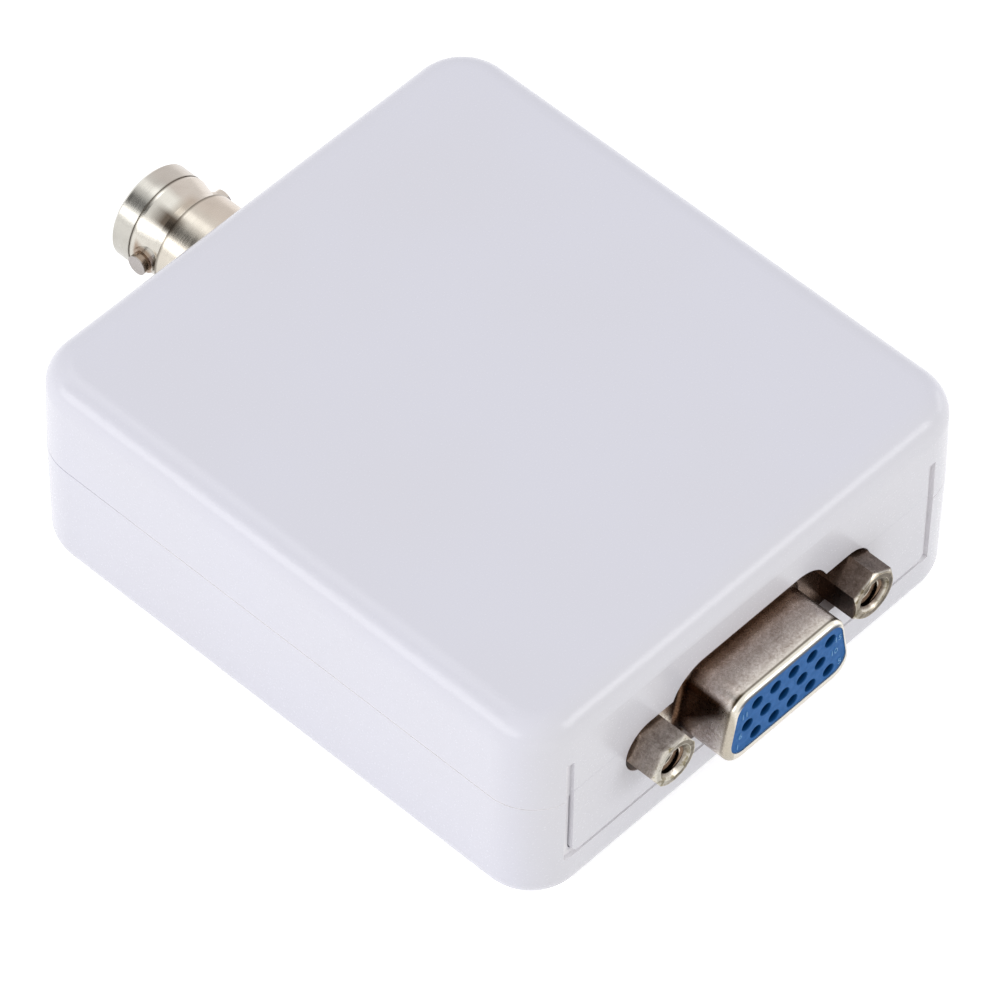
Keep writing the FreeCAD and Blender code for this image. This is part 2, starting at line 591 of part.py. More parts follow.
def vga_board_locks():
    """Two stamped angle brackets with a split peg that snaps into the board."""
    locks = []
    for x in JACK_PLACES:
        half = LOCK_WIDTH / 2
        plate = block(x - half, x + half, BLOCK_FACE, BLOCK_FACE + LOCK_SHEET, BOARD_TOP, BOARD_TOP + LOCK_HEIGHT)
        foot = block(x - half, x + half, BLOCK_FACE, BLOCK_FACE + LOCK_FOOT, BOARD_TOP, BOARD_TOP + LOCK_SHEET)
        peg_y = BLOCK_FACE + LOCK_PEG_BACK
        peg = rod_z(x, peg_y, BOARD_UNDERSIDE - LOCK_PEG_BELOW, BOARD_TOP, LOCK_PEG_RADIUS)
        slit = block(x - LOCK_PEG_SLOT / 2, x + LOCK_PEG_SLOT / 2, peg_y - 2 * LOCK_PEG_RADIUS,
                     peg_y + 2 * LOCK_PEG_RADIUS, BOARD_UNDERSIDE - 2 * LOCK_PEG_BELOW, BOARD_TOP)
        lock = plate.fuse(foot).fuse(peg.cut(slit))
        lock = lock.cut(rod_y(x, BLOCK_FACE - MARGIN, BLOCK_FACE + LOCK_SHEET + MARGIN, VGA_Z,
                              FLANGE_HOLE_RADIUS))
        locks.append(lock.removeSplitter())
    return Part.makeCompound(locks)


def bnc_profile():
    """Half section of the BNC barrel outside the bore, as radius against distance from the front."""
    back = BNC_FRONT - BNC_BLOCK_BACK
    groove_end = GROOVE_BACK + GROOVE_WIDTH
    return [(0, 0), (BNC_RADIUS - BNC_FRONT_CHAMFER, 0), (BNC_RADIUS, BNC_FRONT_CHAMFER),
            (BNC_RADIUS, GROOVE_BACK), (BNC_RADIUS - GROOVE_DEPTH, GROOVE_BACK),
            (BNC_RADIUS - GROOVE_DEPTH, groove_end), (BNC_RADIUS, groove_end), (BNC_RADIUS, WAIST_START)], back


def bnc_barrel():
    """Barrel turned about the jack's axis, with a fine groove and a hollow waist behind it."""
    front_points, back = bnc_profile()

    def place(radius, distance):
        return FreeCAD.Vector(BNC_X + radius, BNC_FRONT - distance, BNC_Z)

    vectors = [place(r, d) for r, d in front_points]
    edges = [Part.LineSegment(a, b).toShape() for a, b in zip(vectors, vectors[1:])]
    waist_middle = place(WAIST_RADIUS, (WAIST_START + 2 * WAIST_END) / 3)
    waist_end = place(WAIST_RADIUS, WAIST_END)
    edges.append(Part.Arc(vectors[-1], place((BNC_RADIUS + WAIST_RADIUS) / 2 - GROOVE_DEPTH / 2,
                                             (2 * WAIST_START + WAIST_END) / 3), waist_middle).toShape())
    rest = [waist_middle, waist_end, place(REAR_RADIUS, WAIST_END), place(REAR_RADIUS, back),
            place(0, back), place(0, 0)]
    edges += [Part.LineSegment(a, b).toShape() for a, b in zip(rest, rest[1:])]
    face = Part.Face(Part.Wire(edges))
    return face.revolve(FreeCAD.Vector(BNC_X, 0, BNC_Z), Y_AXIS, 360)


def bnc_body():
    """Die-cast jack: barrel with two bayonet lugs, and the block with two posts on the board."""
    body = bnc_barrel()
    lug_y = BNC_FRONT - LUG_BACK
    for side in (-1, 1):
        x_end = BNC_X + side * LUG_REACH
        body = body.fuse(rod_x(min(BNC_X, x_end), max(BNC_X, x_end), lug_y, BNC_Z, LUG_RADIUS))
        pad = Part.makeCone(LUG_PAD_RADIUS * 2, LUG_PAD_TOP_RADIUS, LUG_PAD_REACH,
                            FreeCAD.Vector(BNC_X, lug_y, BNC_Z), FreeCAD.Vector(side, 0, 0))
        body = body.fuse(pad)
    body = body.fuse(block(BNC_X - BNC_BLOCK_WIDTH / 2, BNC_X + BNC_BLOCK_WIDTH / 2, BNC_BLOCK_FRONT,
                           BNC_BLOCK_BACK, BOARD_TOP, BNC_BLOCK_TOP))
    bore_end = BNC_FRONT - BNC_BORE_DEPTH
    body = body.cut(rod_y(BNC_X, bore_end, BNC_FRONT + MARGIN, BNC_Z, BNC_BORE))
    body = body.cut(rod_y(BNC_X, BNC_BLOCK_FRONT - MARGIN, bore_end + MARGIN, BNC_Z, DIELECTRIC_REAR_RADIUS))
    for x in (BNC_X - BNC_POST_X, BNC_X + BNC_POST_X):
        body = body.fuse(rod_z(x, BNC_BLOCK_FRONT + BNC_POST_Y, BOARD_UNDERSIDE - BNC_POST_BELOW,
                               BOARD_TOP, BNC_POST_RADIUS))
    return body.removeSplitter()


def bnc_centre_contact():
    """Slotted socket on the axis, drawn down to a wire that turns into the board behind the block."""
    front = BNC_FRONT - CENTRE_SETBACK - DIELECTRIC_SETBACK
    tube_end = front - CENTRE_TUBE
    back = BNC_BLOCK_FRONT - CENTRE_TAIL_BACK
    contact = rod_y(BNC_X, tube_end, front, BNC_Z, CENTRE_RADIUS)
    contact = contact.cut(rod_y(BNC_X, front - CENTRE_BORE_DEPTH, front + MARGIN, BNC_Z, CENTRE_BORE))
    contact = contact.cut(block(BNC_X - CENTRE_SLOT / 2, BNC_X + CENTRE_SLOT / 2, front - CENTRE_SLOT_DEPTH,
                                front + MARGIN, BNC_Z - 2 * CENTRE_RADIUS, BNC_Z + 2 * CENTRE_RADIUS))
    contact = contact.fuse(rod_y(BNC_X, back, tube_end, BNC_Z, CENTRE_TAIL_RADIUS))
    contact = contact.fuse(Part.makeSphere(CENTRE_TAIL_RADIUS, FreeCAD.Vector(BNC_X, back, BNC_Z)))
    contact = contact.fuse(rod_z(BNC_X, back, BOARD_UNDERSIDE - TAIL_BELOW_BOARD, BNC_Z, CENTRE_TAIL_RADIUS))
    return contact.removeSplitter()


def bnc_insulator():
    front = BNC_FRONT - DIELECTRIC_SETBACK
    bore_end = BNC_FRONT - BNC_BORE_DEPTH
    tube_end = front - CENTRE_SETBACK - CENTRE_TUBE
    body = rod_y(BNC_X, bore_end, front, BNC_Z, DIELECTRIC_RADIUS)
    body = body.fuse(rod_y(BNC_X, BNC_BLOCK_FRONT, bore_end, BNC_Z, DIELECTRIC_REAR_RADIUS))
    body = body.cut(rod_y(BNC_X, tube_end, front + MARGIN, BNC_Z, CENTRE_RADIUS))
    return body.cut(rod_y(BNC_X, BNC_BLOCK_FRONT - MARGIN, tube_end, BNC_Z, CENTRE_TAIL_RADIUS)).removeSplitter()


def circuit_board():
    x = CASE_WIDTH / 2 - WALL - BOARD_CLEARANCE
    y = CASE_DEPTH / 2 - WALL - BOARD_CLEARANCE
    outline = rounded_wire([(-x, -y, BOARD_UNDERSIDE), (x, -y, BOARD_UNDERSIDE),
                            (x, y, BOARD_UNDERSIDE), (-x, y, BOARD_UNDERSIDE)], BOARD_CORNER)
    board = Part.Face(outline).extrude(FreeCAD.Vector(0, 0, BOARD_THICKNESS))
    holes = [(x, y, SCREW_RADIUS + SCREW_CLEARANCE) for x, y in SCREW_PLACES]
    holes += [(x, tail_depth(row), TAIL_HOLE_RADIUS) for x, z, row in pin_places()]
    holes += [(x, BLOCK_FACE + LOCK_PEG_BACK, LOCK_PEG_RADIUS + LOCK_PEG_CLEARANCE) for x in JACK_PLACES]
    holes += [(x, BNC_BLOCK_FRONT + BNC_POST_Y, BNC_POST_RADIUS + POST_HOLE_CLEARANCE)
              for x in (BNC_X - BNC_POST_X, BNC_X + BNC_POST_X)]
    holes.append((BNC_X, BNC_BLOCK_FRONT - CENTRE_TAIL_BACK, CENTRE_TAIL_RADIUS + POST_HOLE_CLEARANCE))
    for hole_x, hole_y, radius in holes:
        board = board.cut(rod_z(hole_x, hole_y, BOARD_UNDERSIDE - MARGIN, BOARD_TOP + MARGIN, radius))
    return board.removeSplitter()


def power_socket_shell():
    """Folded steel sleeve, closed at the back."""
    y0 = POWER_MOUTH - POWER_DEPTH
    outer = front_rectangle(POWER_X, POWER_Z, POWER_WIDTH, POWER_HEIGHT, POWER_RADIUS, y0, POWER_MOUTH)
    inner = front_rectangle(POWER_X, POWER_Z, POWER_WIDTH - 2 * POWER_SHEET, POWER_HEIGHT - 2 * POWER_SHEET,
                            POWER_RADIUS - POWER_SHEET, y0 - MARGIN, POWER_MOUTH + MARGIN)
    return outer.cut(inner).removeSplitter()


def power_contact_places():
    middle = (POWER_CONTACTS - 1) / 2
    return [POWER_X + (k - middle) * POWER_PITCH for k in range(POWER_CONTACTS)]


def power_tongue_z():
    return POWER_Z + POWER_HEIGHT / 2 - POWER_SHEET - POWER_TONGUE_DROP


def power_socket_contacts():
    """Flat strips on the underside of the tongue, with tails that step down to the board."""
    y0 = POWER_MOUTH - POWER_DEPTH
    under = power_tongue_z() - POWER_TONGUE_HEIGHT / 2
    half = POWER_CONTACT_WIDTH / 2
    contacts = []
    for x in power_contact_places():
        strip = block(x - half, x + half, y0 - POWER_CONTACT_SHEET, POWER_MOUTH - 2 * POWER_TONGUE_SETBACK,
                      under - POWER_CONTACT_SHEET, under)
        drop = block(x - half, x + half, y0 - POWER_CONTACT_SHEET, y0, BOARD_TOP, under)
        foot = block(x - half, x + half, y0 - POWER_TAIL, y0, BOARD_TOP, BOARD_TOP + POWER_CONTACT_SHEET)
        contacts.append(strip.fuse(drop).fuse(foot).removeSplitter())
    return Part.makeCompound(contacts)


def power_socket_insulator():
    y0 = POWER_MOUTH - POWER_DEPTH
    z = power_tongue_z()
    half = POWER_TONGUE_WIDTH / 2
    base = front_rectangle(POWER_X, POWER_Z, POWER_WIDTH - 2 * POWER_SHEET, POWER_HEIGHT - 2 * POWER_SHEET,
                           POWER_RADIUS - POWER_SHEET, y0, y0 + POWER_BASE_DEPTH)
    tongue = block(POWER_X - half, POWER_X + half, y0, POWER_MOUTH - POWER_TONGUE_SETBACK,
                   z - POWER_TONGUE_HEIGHT / 2, z + POWER_TONGUE_HEIGHT / 2)
    body = base.fuse(tongue)
    return body.cut(power_socket_contacts()).removeSplitter()


def lead_row(count, along_x, start, centre, body_height):
    """Row of gull-wing leads that leave a package side at mid height and stand on the board."""
    cx, cy = centre
    leads = []
    middle = BOARD_TOP + body_height / 2
    direction = math.copysign(1, start)
    for k in range(count):
        t = (k - (count - 1) / 2) * LEAD_PITCH
        shoulder = start + direction * LEAD_REACH * 0.4
        toe = start + direction * LEAD_REACH
        profile = [(start - direction * LEAD_SHEET, middle), (shoulder, middle),
                   (shoulder, BOARD_TOP), (toe, BOARD_TOP), (toe, BOARD_TOP + LEAD_SHEET),
                   (shoulder + direction * LEAD_SHEET, BOARD_TOP + LEAD_SHEET),
                   (shoulder + direction * LEAD_SHEET, middle + LEAD_SHEET),
                   (start - direction * LEAD_SHEET, middle + LEAD_SHEET)]
        if along_x:
            points = [FreeCAD.Vector(cx + t - LEAD_WIDTH / 2, cy + s, z) for s, z in profile]
            run = FreeCAD.Vector(LEAD_WIDTH, 0, 0)
        else:
            points = [FreeCAD.Vector(cx + s, cy + t - LEAD_WIDTH / 2, z) for s, z in profile]
            run = FreeCAD.Vector(0, LEAD_WIDTH, 0)
        leads.append(Part.Face(Part.makePolygon(points + points[:1])).extrude(run))
    return leads


def package(centre, width, length, height):
    cx, cy = centre
    return block(cx - width / 2, cx + width / 2, cy - length / 2, cy + length / 2,
                 BOARD_TOP + LEAD_SHEET, BOARD_TOP + height)


def converter_chip():
    body = package(CONVERTER_AT, CONVERTER_BODY, CONVERTER_BODY, CONVERTER_HEIGHT)
    leads = []
    for side in (-CONVERTER_BODY / 2, CONVERTER_BODY / 2):
        leads += lead_row(CONVERTER_LEAD_COUNT, True, side, CONVERTER_AT, CONVERTER_HEIGHT)
        leads += lead_row(CONVERTER_LEAD_COUNT, False, side, CONVERTER_AT, CONVERTER_HEIGHT)
    return body.multiFuse(leads).removeSplitter()


def memory_chip():
    body = package(MEMORY_AT, MEMORY_WIDTH, MEMORY_LENGTH, MEMORY_HEIGHT)
    leads = []
    for side in (-MEMORY_WIDTH / 2, MEMORY_WIDTH / 2):
        leads += lead_row(MEMORY_LEAD_COUNT, False, side, MEMORY_AT, MEMORY_HEIGHT)
    return body.multiFuse(leads).removeSplitter()


def regulator():
    cx, cy = REGULATOR_AT
    length, width, height = REGULATOR_BODY
    body = block(cx - length / 2, cx + length / 2, cy - width / 2, cy + width / 2,
                 BOARD_TOP + LEAD_SHEET, BOARD_TOP + height)
    pieces = [block(cx - REGULATOR_TAB_WIDTH / 2, cx + REGULATOR_TAB_WIDTH / 2, cy,
                    cy + width / 2 + REGULATOR_LEAD_REACH, BOARD_TOP, BOARD_TOP + 2 * LEAD_SHEET)]
    for k in (-1, 0, 1):
        x = cx + k * REGULATOR_LEAD_PITCH
        pieces.append(block(x - REGULATOR_LEAD_WIDTH / 2, x + REGULATOR_LEAD_WIDTH / 2,
                            cy - width / 2 - REGULATOR_LEAD_REACH, cy, BOARD_TOP, BOARD_TOP + 2 * LEAD_SHEET))
    return body.multiFuse(pieces).removeSplitter()


def obround(cx, cy, length, width, z0, z1):
    straight = (length - width) / 2
    body = block(cx - straight, cx + straight, cy - width / 2, cy + width / 2, z0, z1)
    body = body.fuse(rod_z(cx - straight, cy, z0, z1, width / 2))
    return body.fuse(rod_z(cx + straight, cy, z0, z1, width / 2)).removeSplitter()


def crystal():
    cx, cy = CRYSTAL_AT
    can = obround(cx, cy, CRYSTAL_LENGTH - 2 * CRYSTAL_BRIM, CRYSTAL_WIDTH - 2 * CRYSTAL_BRIM,
                  BOARD_TOP, BOARD_TOP + CRYSTAL_HEIGHT)
    can = can.makeFillet(CRYSTAL_BRIM, edges_at_height(can, BOARD_TOP + CRYSTAL_HEIGHT))
    brim = obround(cx, cy, CRYSTAL_LENGTH, CRYSTAL_WIDTH, BOARD_TOP, BOARD_TOP + CRYSTAL_BRIM)
    return can.fuse(brim).removeSplitter()


def electrolytic_capacitors():
    cans = []
    for cx, cy in CAN_PLACES:
        half = CAN_BASE / 2
        base = block(cx - half, cx + half, cy - half, cy + half, BOARD_TOP, BOARD_TOP + CAN_BASE_HEIGHT)
        corners = [e for e in base.Edges if e.BoundBox.ZLength > CAN_BASE_HEIGHT / 2
                   and e.BoundBox.XMin > cx]
        base = base.makeChamfer(CAN_CORNER, corners)
        can = rod_z(cx, cy, BOARD_TOP + CAN_BASE_HEIGHT, BOARD_TOP + CAN_HEIGHT, CAN_RADIUS)
        can = can.makeChamfer(CAN_BEVEL, edges_at_height(can, BOARD_TOP + CAN_HEIGHT))
        cans.append(base.fuse(can).removeSplitter())
    return Part.makeCompound(cans)


def chip_capacitors():
    length, width, height = CHIP_SIZE
    return Part.makeCompound([block(x - width / 2, x + width / 2, y - length / 2, y + length / 2,
                                    BOARD_TOP, BOARD_TOP + height) for x, y in CHIP_PLACES])


NODES = {
    "top_shell": top_shell,
    "bottom_shell": bottom_shell,
    "case_screws": case_screws,
    "circuit_board": circuit_board,
    "vga_shell": vga_shell,
    "vga_rear_shell": vga_rear_shell,
    "vga_insulator": vga_insulator,
    "vga_contacts": vga_contacts,
    "vga_board_locks": vga_board_locks,
    "vga_nuts": vga_nuts,
    "jackscrews": jackscrews,
    "bnc_body": bnc_body,
    "bnc_insulator": bnc_insulator,
    "bnc_centre_contact": bnc_centre_contact,
    "converter_chip": converter_chip,
    "memory_chip": memory_chip,
    "regulator": regulator,
    "crystal": crystal,
    "electrolytic_capacitors": electrolytic_capacitors,
    "chip_capacitors": chip_capacitors,
    "power_socket_shell": power_socket_shell,
    "power_socket_insulator": power_socket_insulator,
    "power_socket_contacts": power_socket_contacts,
}

os.makedirs("parts", exist_ok=True)
for name, make in NODES.items():
    shape = make()
    shape.exportStep(os.path.join("parts", name + ".step"))
    print(name, len(shape.Solids), "solids", round(shape.Volume, 2), "mm3", "valid", shape.isValid())
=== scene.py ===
import bpy
import bmesh
import math
from mathutils import Matrix, Vector


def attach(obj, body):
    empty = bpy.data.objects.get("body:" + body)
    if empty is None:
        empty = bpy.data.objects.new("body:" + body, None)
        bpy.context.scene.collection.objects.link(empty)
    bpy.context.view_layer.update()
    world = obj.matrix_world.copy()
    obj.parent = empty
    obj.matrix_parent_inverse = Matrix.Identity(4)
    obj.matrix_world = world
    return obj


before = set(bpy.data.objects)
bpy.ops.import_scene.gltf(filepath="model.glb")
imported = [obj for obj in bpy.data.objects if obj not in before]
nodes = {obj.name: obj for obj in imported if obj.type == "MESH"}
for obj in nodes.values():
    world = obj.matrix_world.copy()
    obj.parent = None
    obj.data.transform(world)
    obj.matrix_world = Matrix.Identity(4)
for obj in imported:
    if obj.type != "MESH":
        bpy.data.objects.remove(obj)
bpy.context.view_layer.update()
MM = 0.001


# Case: two white ABS mouldings with a fine satin grain, closed by four screws from below.
# The front tongue of the upper one drops into the cut-out of the lower one, and carries
# the opening for the VGA socket. The narrow gaps and the seam are painted lighter: painted light
# that stands in for the light coming through the thin walls.
CASE_WHITE = (0.686, 0.684, 0.762)
CASE_WARM = (0.682, 0.678, 0.748)
CASE_ROUGHNESS = 0.24
CASE_IOR = 1.5
# Mould grain: how fine it is, how deep, and how large the patches of its slow change are
GRAIN_FINENESS = 5000.0
GRAIN_DEPTH = 0.004 * MM
GRAIN_PATCH = 60.0
GRAIN_TONES = (0.35, 0.65)
GRAIN_ROUGHNESS = 0.05
# Middle of a noise, where most of its values lie
NOISE_MIDDLE = (0.3, 0.7)
# Places are in mm along an axis of the model, and a pair is where a change starts and ends
FRONT_WALL_BACK = (-28.4, -28.3)
FRONT_TINT = (1.0, 0.995, 0.955)
FRONT_TINT_FADE = (-30.0, -27.5)
TONGUE_MIDDLE = -0.5
TONGUE_EDGE = (22.98, 22.985)
SLOT_ACROSS = (22.18, 22.98)
SLOT_HEIGHT = (5.04, 18.01)
FOOT_GAP_HEIGHT = (5.04, 5.58)
GAP_FADE = 0.005
# Painted light: colour of the slots, the foot gap and the seam; on the seam it fades out towards the back
GAP_PAINTED_LIGHT = (0.84, 0.825, 0.85)
SEAM_HEIGHT = (13.08, 13.22)
SEAM_FADE = 0.05
SEAM_LIGHT = 0.90
SEAM_LIGHT_FADE = (14.0, 27.0)
# Which of a mix node's inputs and outputs are its colours
MIX_LOW, MIX_HIGH, MIXED = 6, 7, 2


def new_group(name, inputs, outputs):
    """Empty node group, with its inputs given as names and default values."""
    group = bpy.data.node_groups.new(name, "ShaderNodeTree")
    for label, value in inputs.items():
        socket = group.interface.new_socket(label, in_out="INPUT", socket_type="NodeSocketFloat")
        socket.default_value = value
    for label in outputs:
        group.interface.new_socket(label, in_out="OUTPUT", socket_type="NodeSocketFloat")
    return group, group.nodes.new("NodeGroupInput"), group.nodes.new("NodeGroupOutput")


def add(tree, kind, links=(), **settings):
    """New node with its properties set, its default values, and its inputs linked."""
    node = tree.nodes.new(kind)
    for key, value in settings.items():
        setattr(node, key, value)
    for key, value in dict(links).items():
        if isinstance(value, bpy.types.NodeSocket):
            tree.links.new(value, node.inputs[key])
        else:
            node.inputs[key].default_value = value
    return node


def calculate(tree, operation, *values):
    """Result of a sum, with each value a socket or a number."""
    return add(tree, "ShaderNodeMath", dict(enumerate(values)), operation=operation).outputs[0]


def multiply(tree, first, *others):
    """Product of two or more values. For masks it is 1 only where each of them is 1."""
    result = first
    for other in others:
        result = calculate(tree, "MULTIPLY", result, other)
    return result


def noise(tree, place, fineness, detail, roughness, distortion=0.0):
    """Cloudy value from 0 to 1."""
    return add(tree, "ShaderNodeTexNoise", {"Vector": place, "Scale": fineness, "Detail": detail,
                                            "Roughness": roughness, "Distortion": distortion}).outputs["Fac"]


def moulded_grain_group():
    """Spark-eroded mould surface: a fine height, and a slow change of tone over the moulding."""
    group, enter, leave = new_group("moulded_grain", {"Fineness": GRAIN_FINENESS, "Patch size": GRAIN_PATCH},
                                    ("Height", "Tone"))
    place = add(group, "ShaderNodeTexCoord").outputs["Object"]
    group.links.new(noise(group, place, enter.outputs["Fineness"], detail=3.0, roughness=0.6),
                    leave.inputs["Height"])
    group.links.new(noise(group, place, enter.outputs["Patch size"], detail=2.0, roughness=0.5),
                    leave.inputs["Tone"])
    return group


moulded_grain = moulded_grain_group()


def place_group(tree, group, **values):
    """Puts a shared node group into a material, with the values of its inputs."""
    node = add(tree, "ShaderNodeGroup", node_tree=group)
    for key, value in values.items():
        node.inputs[key.replace("_", " ")].default_value = value
    return node


def new_material(name, roughness, metallic):
    """Material with its Principled shader, whose unvarying values are set on its own sockets."""
    material = bpy.data.materials.new(name)
    material.use_nodes = True
    shader = material.node_tree.nodes["Principled BSDF"]
    shader.inputs["Roughness"].default_value = roughness
    shader.inputs["Metallic"].default_value = metallic
    return material, material.node_tree, shader


def open_material(material):
    """Node tree of a finished material, its shader, and the colour that goes into the shader."""
    shader = material.node_tree.nodes["Principled BSDF"]
    return material.node_tree, shader, shader.inputs["Base Color"].links[0].from_socket


def mix_colours(tree, mask, low, high, blend="MIX"):
    """Colour that goes from low to high with a mask. Each is a socket or a triple."""
    mix = add(tree, "ShaderNodeMix", {"Factor": mask}, data_type="RGBA", blend_type=blend)
    for socket, colour in ((mix.inputs[MIX_LOW], low), (mix.inputs[MIX_HIGH], high)):
        if isinstance(colour, bpy.types.NodeSocket):
            tree.links.new(colour, socket)
        else:
            socket.default_value = (*colour, 1.0)
    return mix.outputs[MIXED]


def tinted(tree, mask, colour, tint):
    """Colour multiplied by a tint where the mask is 1."""
    return mix_colours(tree, mask, colour, tint, "MULTIPLY")


def spread(tree, value, low, high, ends=(0.0, 1.0)):
    """Goes from low to high while the value goes from one end to the other."""
    node = add(tree, "ShaderNodeMapRange", {"Value": value, "From Min": ends[0], "From Max": ends[1],
                                            "To Min": low, "To Max": high})
    return node.outputs["Result"]


def rise(tree, value, ends=(0.0, 1.0)):
    """Mask that goes from 0 to 1 between two ends."""
    return spread(tree, value, 0.0, 1.0, ends)


def fall(tree, value, ends=(0.0, 1.0)):
    """Mask that goes from 1 to 0 between two ends."""
    return spread(tree, value, 1.0, 0.0, ends)


def within(tree, value, ends, fade):
    """Mask that is 1 between two ends, and fades out outside them."""
    low, high = ends
    return multiply(tree, rise(tree, value, (low - fade, low)), fall(tree, value, (high, high + fade)))


def colour_along(tree, value, stops):
    """Colour that follows a value through stops, each a value and a colour, in rising order."""
    start, end = stops[0][0], stops[-1][0]
    node = add(tree, "ShaderNodeValToRGB", {"Fac": rise(tree, value, (start, end))})
    marks = node.color_ramp.elements
    while len(marks) < len(stops):
        marks.new(0.5)
    for mark, (at, colour) in zip(marks, stops):
        mark.position = (at - start) / (end - start)
        mark.color = (*colour, 1.0)
    return node.outputs["Color"]


def place_on(tree, axis):
    """Distance along X, Y or Z of the model, in mm."""
    place = add(tree, "ShaderNodeTexCoord")
    metres = add(tree, "ShaderNodeSeparateXYZ", {"Vector": place.outputs["Object"]}).outputs[axis]
    return multiply(tree, metres, 1 / MM)


def bump(tree, shader, height, distance):
    """Raises the shader's surface with a height from 0 to 1, by a distance in metres."""
    node = add(tree, "ShaderNodeBump", {"Height": height, "Distance": distance, "Strength": 1.0})
    tree.links.new(node.outputs["Normal"], shader.inputs["Normal"])


def moulded_plastic(name, tone_a, tone_b, roughness,
                    fineness=GRAIN_FINENESS, depth=GRAIN_DEPTH, patch=GRAIN_PATCH):
    """Moulded plastic: two close tones in slow patches, and the grain of the mould."""
    material, tree, shader = new_material(name, roughness, metallic=0.0)
    grain = place_group(tree, moulded_grain, Fineness=fineness, Patch_size=patch)
    tone = rise(tree, grain.outputs["Tone"], GRAIN_TONES)
    tree.links.new(mix_colours(tree, tone, tone_a, tone_b), shader.inputs["Base Color"])
    rough = spread(tree, grain.outputs["Height"], roughness - GRAIN_ROUGHNESS, roughness + GRAIN_ROUGHNESS,
                   NOISE_MIDDLE)
    tree.links.new(rough, shader.inputs["Roughness"])
    bump(tree, shader, grain.outputs["Height"], depth)
    return material


def finish(name, material):
    """Puts a material on a node of the model."""
    nodes[name].data.materials.clear()
    nodes[name].data.materials.append(material)


def paint_light_in_gaps(material):
    """Makes the front wall a little less blue, and paints the slots, the foot gap and the seam lighter, as
    painted light.
    """
    tree, shader, white = open_material(material)
    across, along, height = (place_on(tree, axis) for axis in "XYZ")
    white = tinted(tree, fall(tree, along, FRONT_TINT_FADE), white, FRONT_TINT)
    off_middle = calculate(tree, "ABSOLUTE", calculate(tree, "SUBTRACT", across, TONGUE_MIDDLE))
    on_front = fall(tree, along, FRONT_WALL_BACK)
    on_tongue = fall(tree, off_middle, TONGUE_EDGE)
    slots = multiply(tree, within(tree, off_middle, SLOT_ACROSS, GAP_FADE),
                     within(tree, height, SLOT_HEIGHT, GAP_FADE))
    foot = multiply(tree, on_tongue, within(tree, height, FOOT_GAP_HEIGHT, GAP_FADE))
    gaps = multiply(tree, calculate(tree, "MAXIMUM", slots, foot), on_front)
    seam = multiply(tree, within(tree, height, SEAM_HEIGHT, SEAM_FADE),
                    spread(tree, along, SEAM_LIGHT, 0.0, SEAM_LIGHT_FADE),
                    fall(tree, multiply(tree, on_tongue, on_front)))
    lit = calculate(tree, "MAXIMUM", gaps, seam)
    # Painted light in the gaps and the seam
    tree.links.new(mix_colours(tree, lit, white, GAP_PAINTED_LIGHT), shader.inputs["Base Color"])


case_plastic = moulded_plastic("case_plastic", CASE_WHITE, CASE_WARM, CASE_ROUGHNESS)
paint_light_in_gaps(case_plastic)
case_plastic.node_tree.nodes["Principled BSDF"].inputs["IOR"].default_value = CASE_IOR
finish("top_shell", case_plastic)
finish("bottom_shell", case_plastic)


# Case screws: zinc-plated steel with a cross recess, sunk in the four corners of the underside
# and driven up into the posts of the upper moulding. The zinc has a fine mottle.
ZINC = ((0.42, 0.43, 0.45), (0.62, 0.62, 0.62))
CLOUD_TONES = (0.36, 0.66)
# Plating in common: how fine its clouds and specks are, and the depth of its orange peel
PLATING_CLOUDS = 500.0
PLATING_SPECKS = 4000.0
PLATING_PEEL = 0.003 * MM


def plating_group():
    """Electroplated surface: a cloudy mottle, fine specks, and a height for the orange peel."""
    group, enter, leave = new_group("plating", {"Cloud size": PLATING_CLOUDS, "Speck size": PLATING_SPECKS},
                                    ("Cloud", "Speck", "Height"))
    place = add(group, "ShaderNodeTexCoord").outputs["Object"]
    cloud = noise(group, place, enter.outputs["Cloud size"], detail=4.0, roughness=0.62, distortion=0.4)
    speck = noise(group, place, enter.outputs["Speck size"], detail=2.0, roughness=0.7)
    group.links.new(cloud, leave.inputs["Cloud"])
    group.links.new(speck, leave.inputs["Speck"])
    group.links.new(multiply(group, cloud, speck), leave.inputs["Height"])
    return group


plating = plating_group()


def speckle(tree, shader, skin, smooth, dull, peel):
    """Gives a metal its roughness, in specks from smooth to dull, and its orange peel."""
    tree.links.new(spread(tree, skin.outputs["Speck"], smooth, dull, NOISE_MIDDLE), shader.inputs["Roughness"])
    bump(tree, shader, skin.outputs["Height"], peel)


def plated_metal(name, tones, smooth, dull, clouds=PLATING_CLOUDS):
    """Plated metal: a dark and a light tone in clouds, and a smooth to dull skin in specks."""
    material, tree, shader = new_material(name, dull, metallic=1.0)
    skin = place_group(tree, plating, Cloud_size=clouds, Speck_size=PLATING_SPECKS)
    mask = rise(tree, skin.outputs["Cloud"], CLOUD_TONES)
    tree.links.new(mix_colours(tree, mask, *tones), shader.inputs["Base Color"])
    speckle(tree, shader, skin, smooth, dull, PLATING_PEEL)
    return material


finish("case_screws", plated_metal("screw_zinc", ZINC, smooth=0.25, dull=0.42))


# Circuit board: glass-fibre laminate with copper tracks under a green solder mask. The tracks
# show as slightly raised, lighter lines. The board is clamped between the posts of the two shells.
MASK_GREEN = (0.010, 0.085, 0.035)
TRACK_GREEN = (0.022, 0.17, 0.07)
TRACK_SCALE = 420.0
TRACK_WIDTH = 0.06
TRACK_SOFTNESS = 0.2
TRACK_HEIGHT = 0.03 * MM


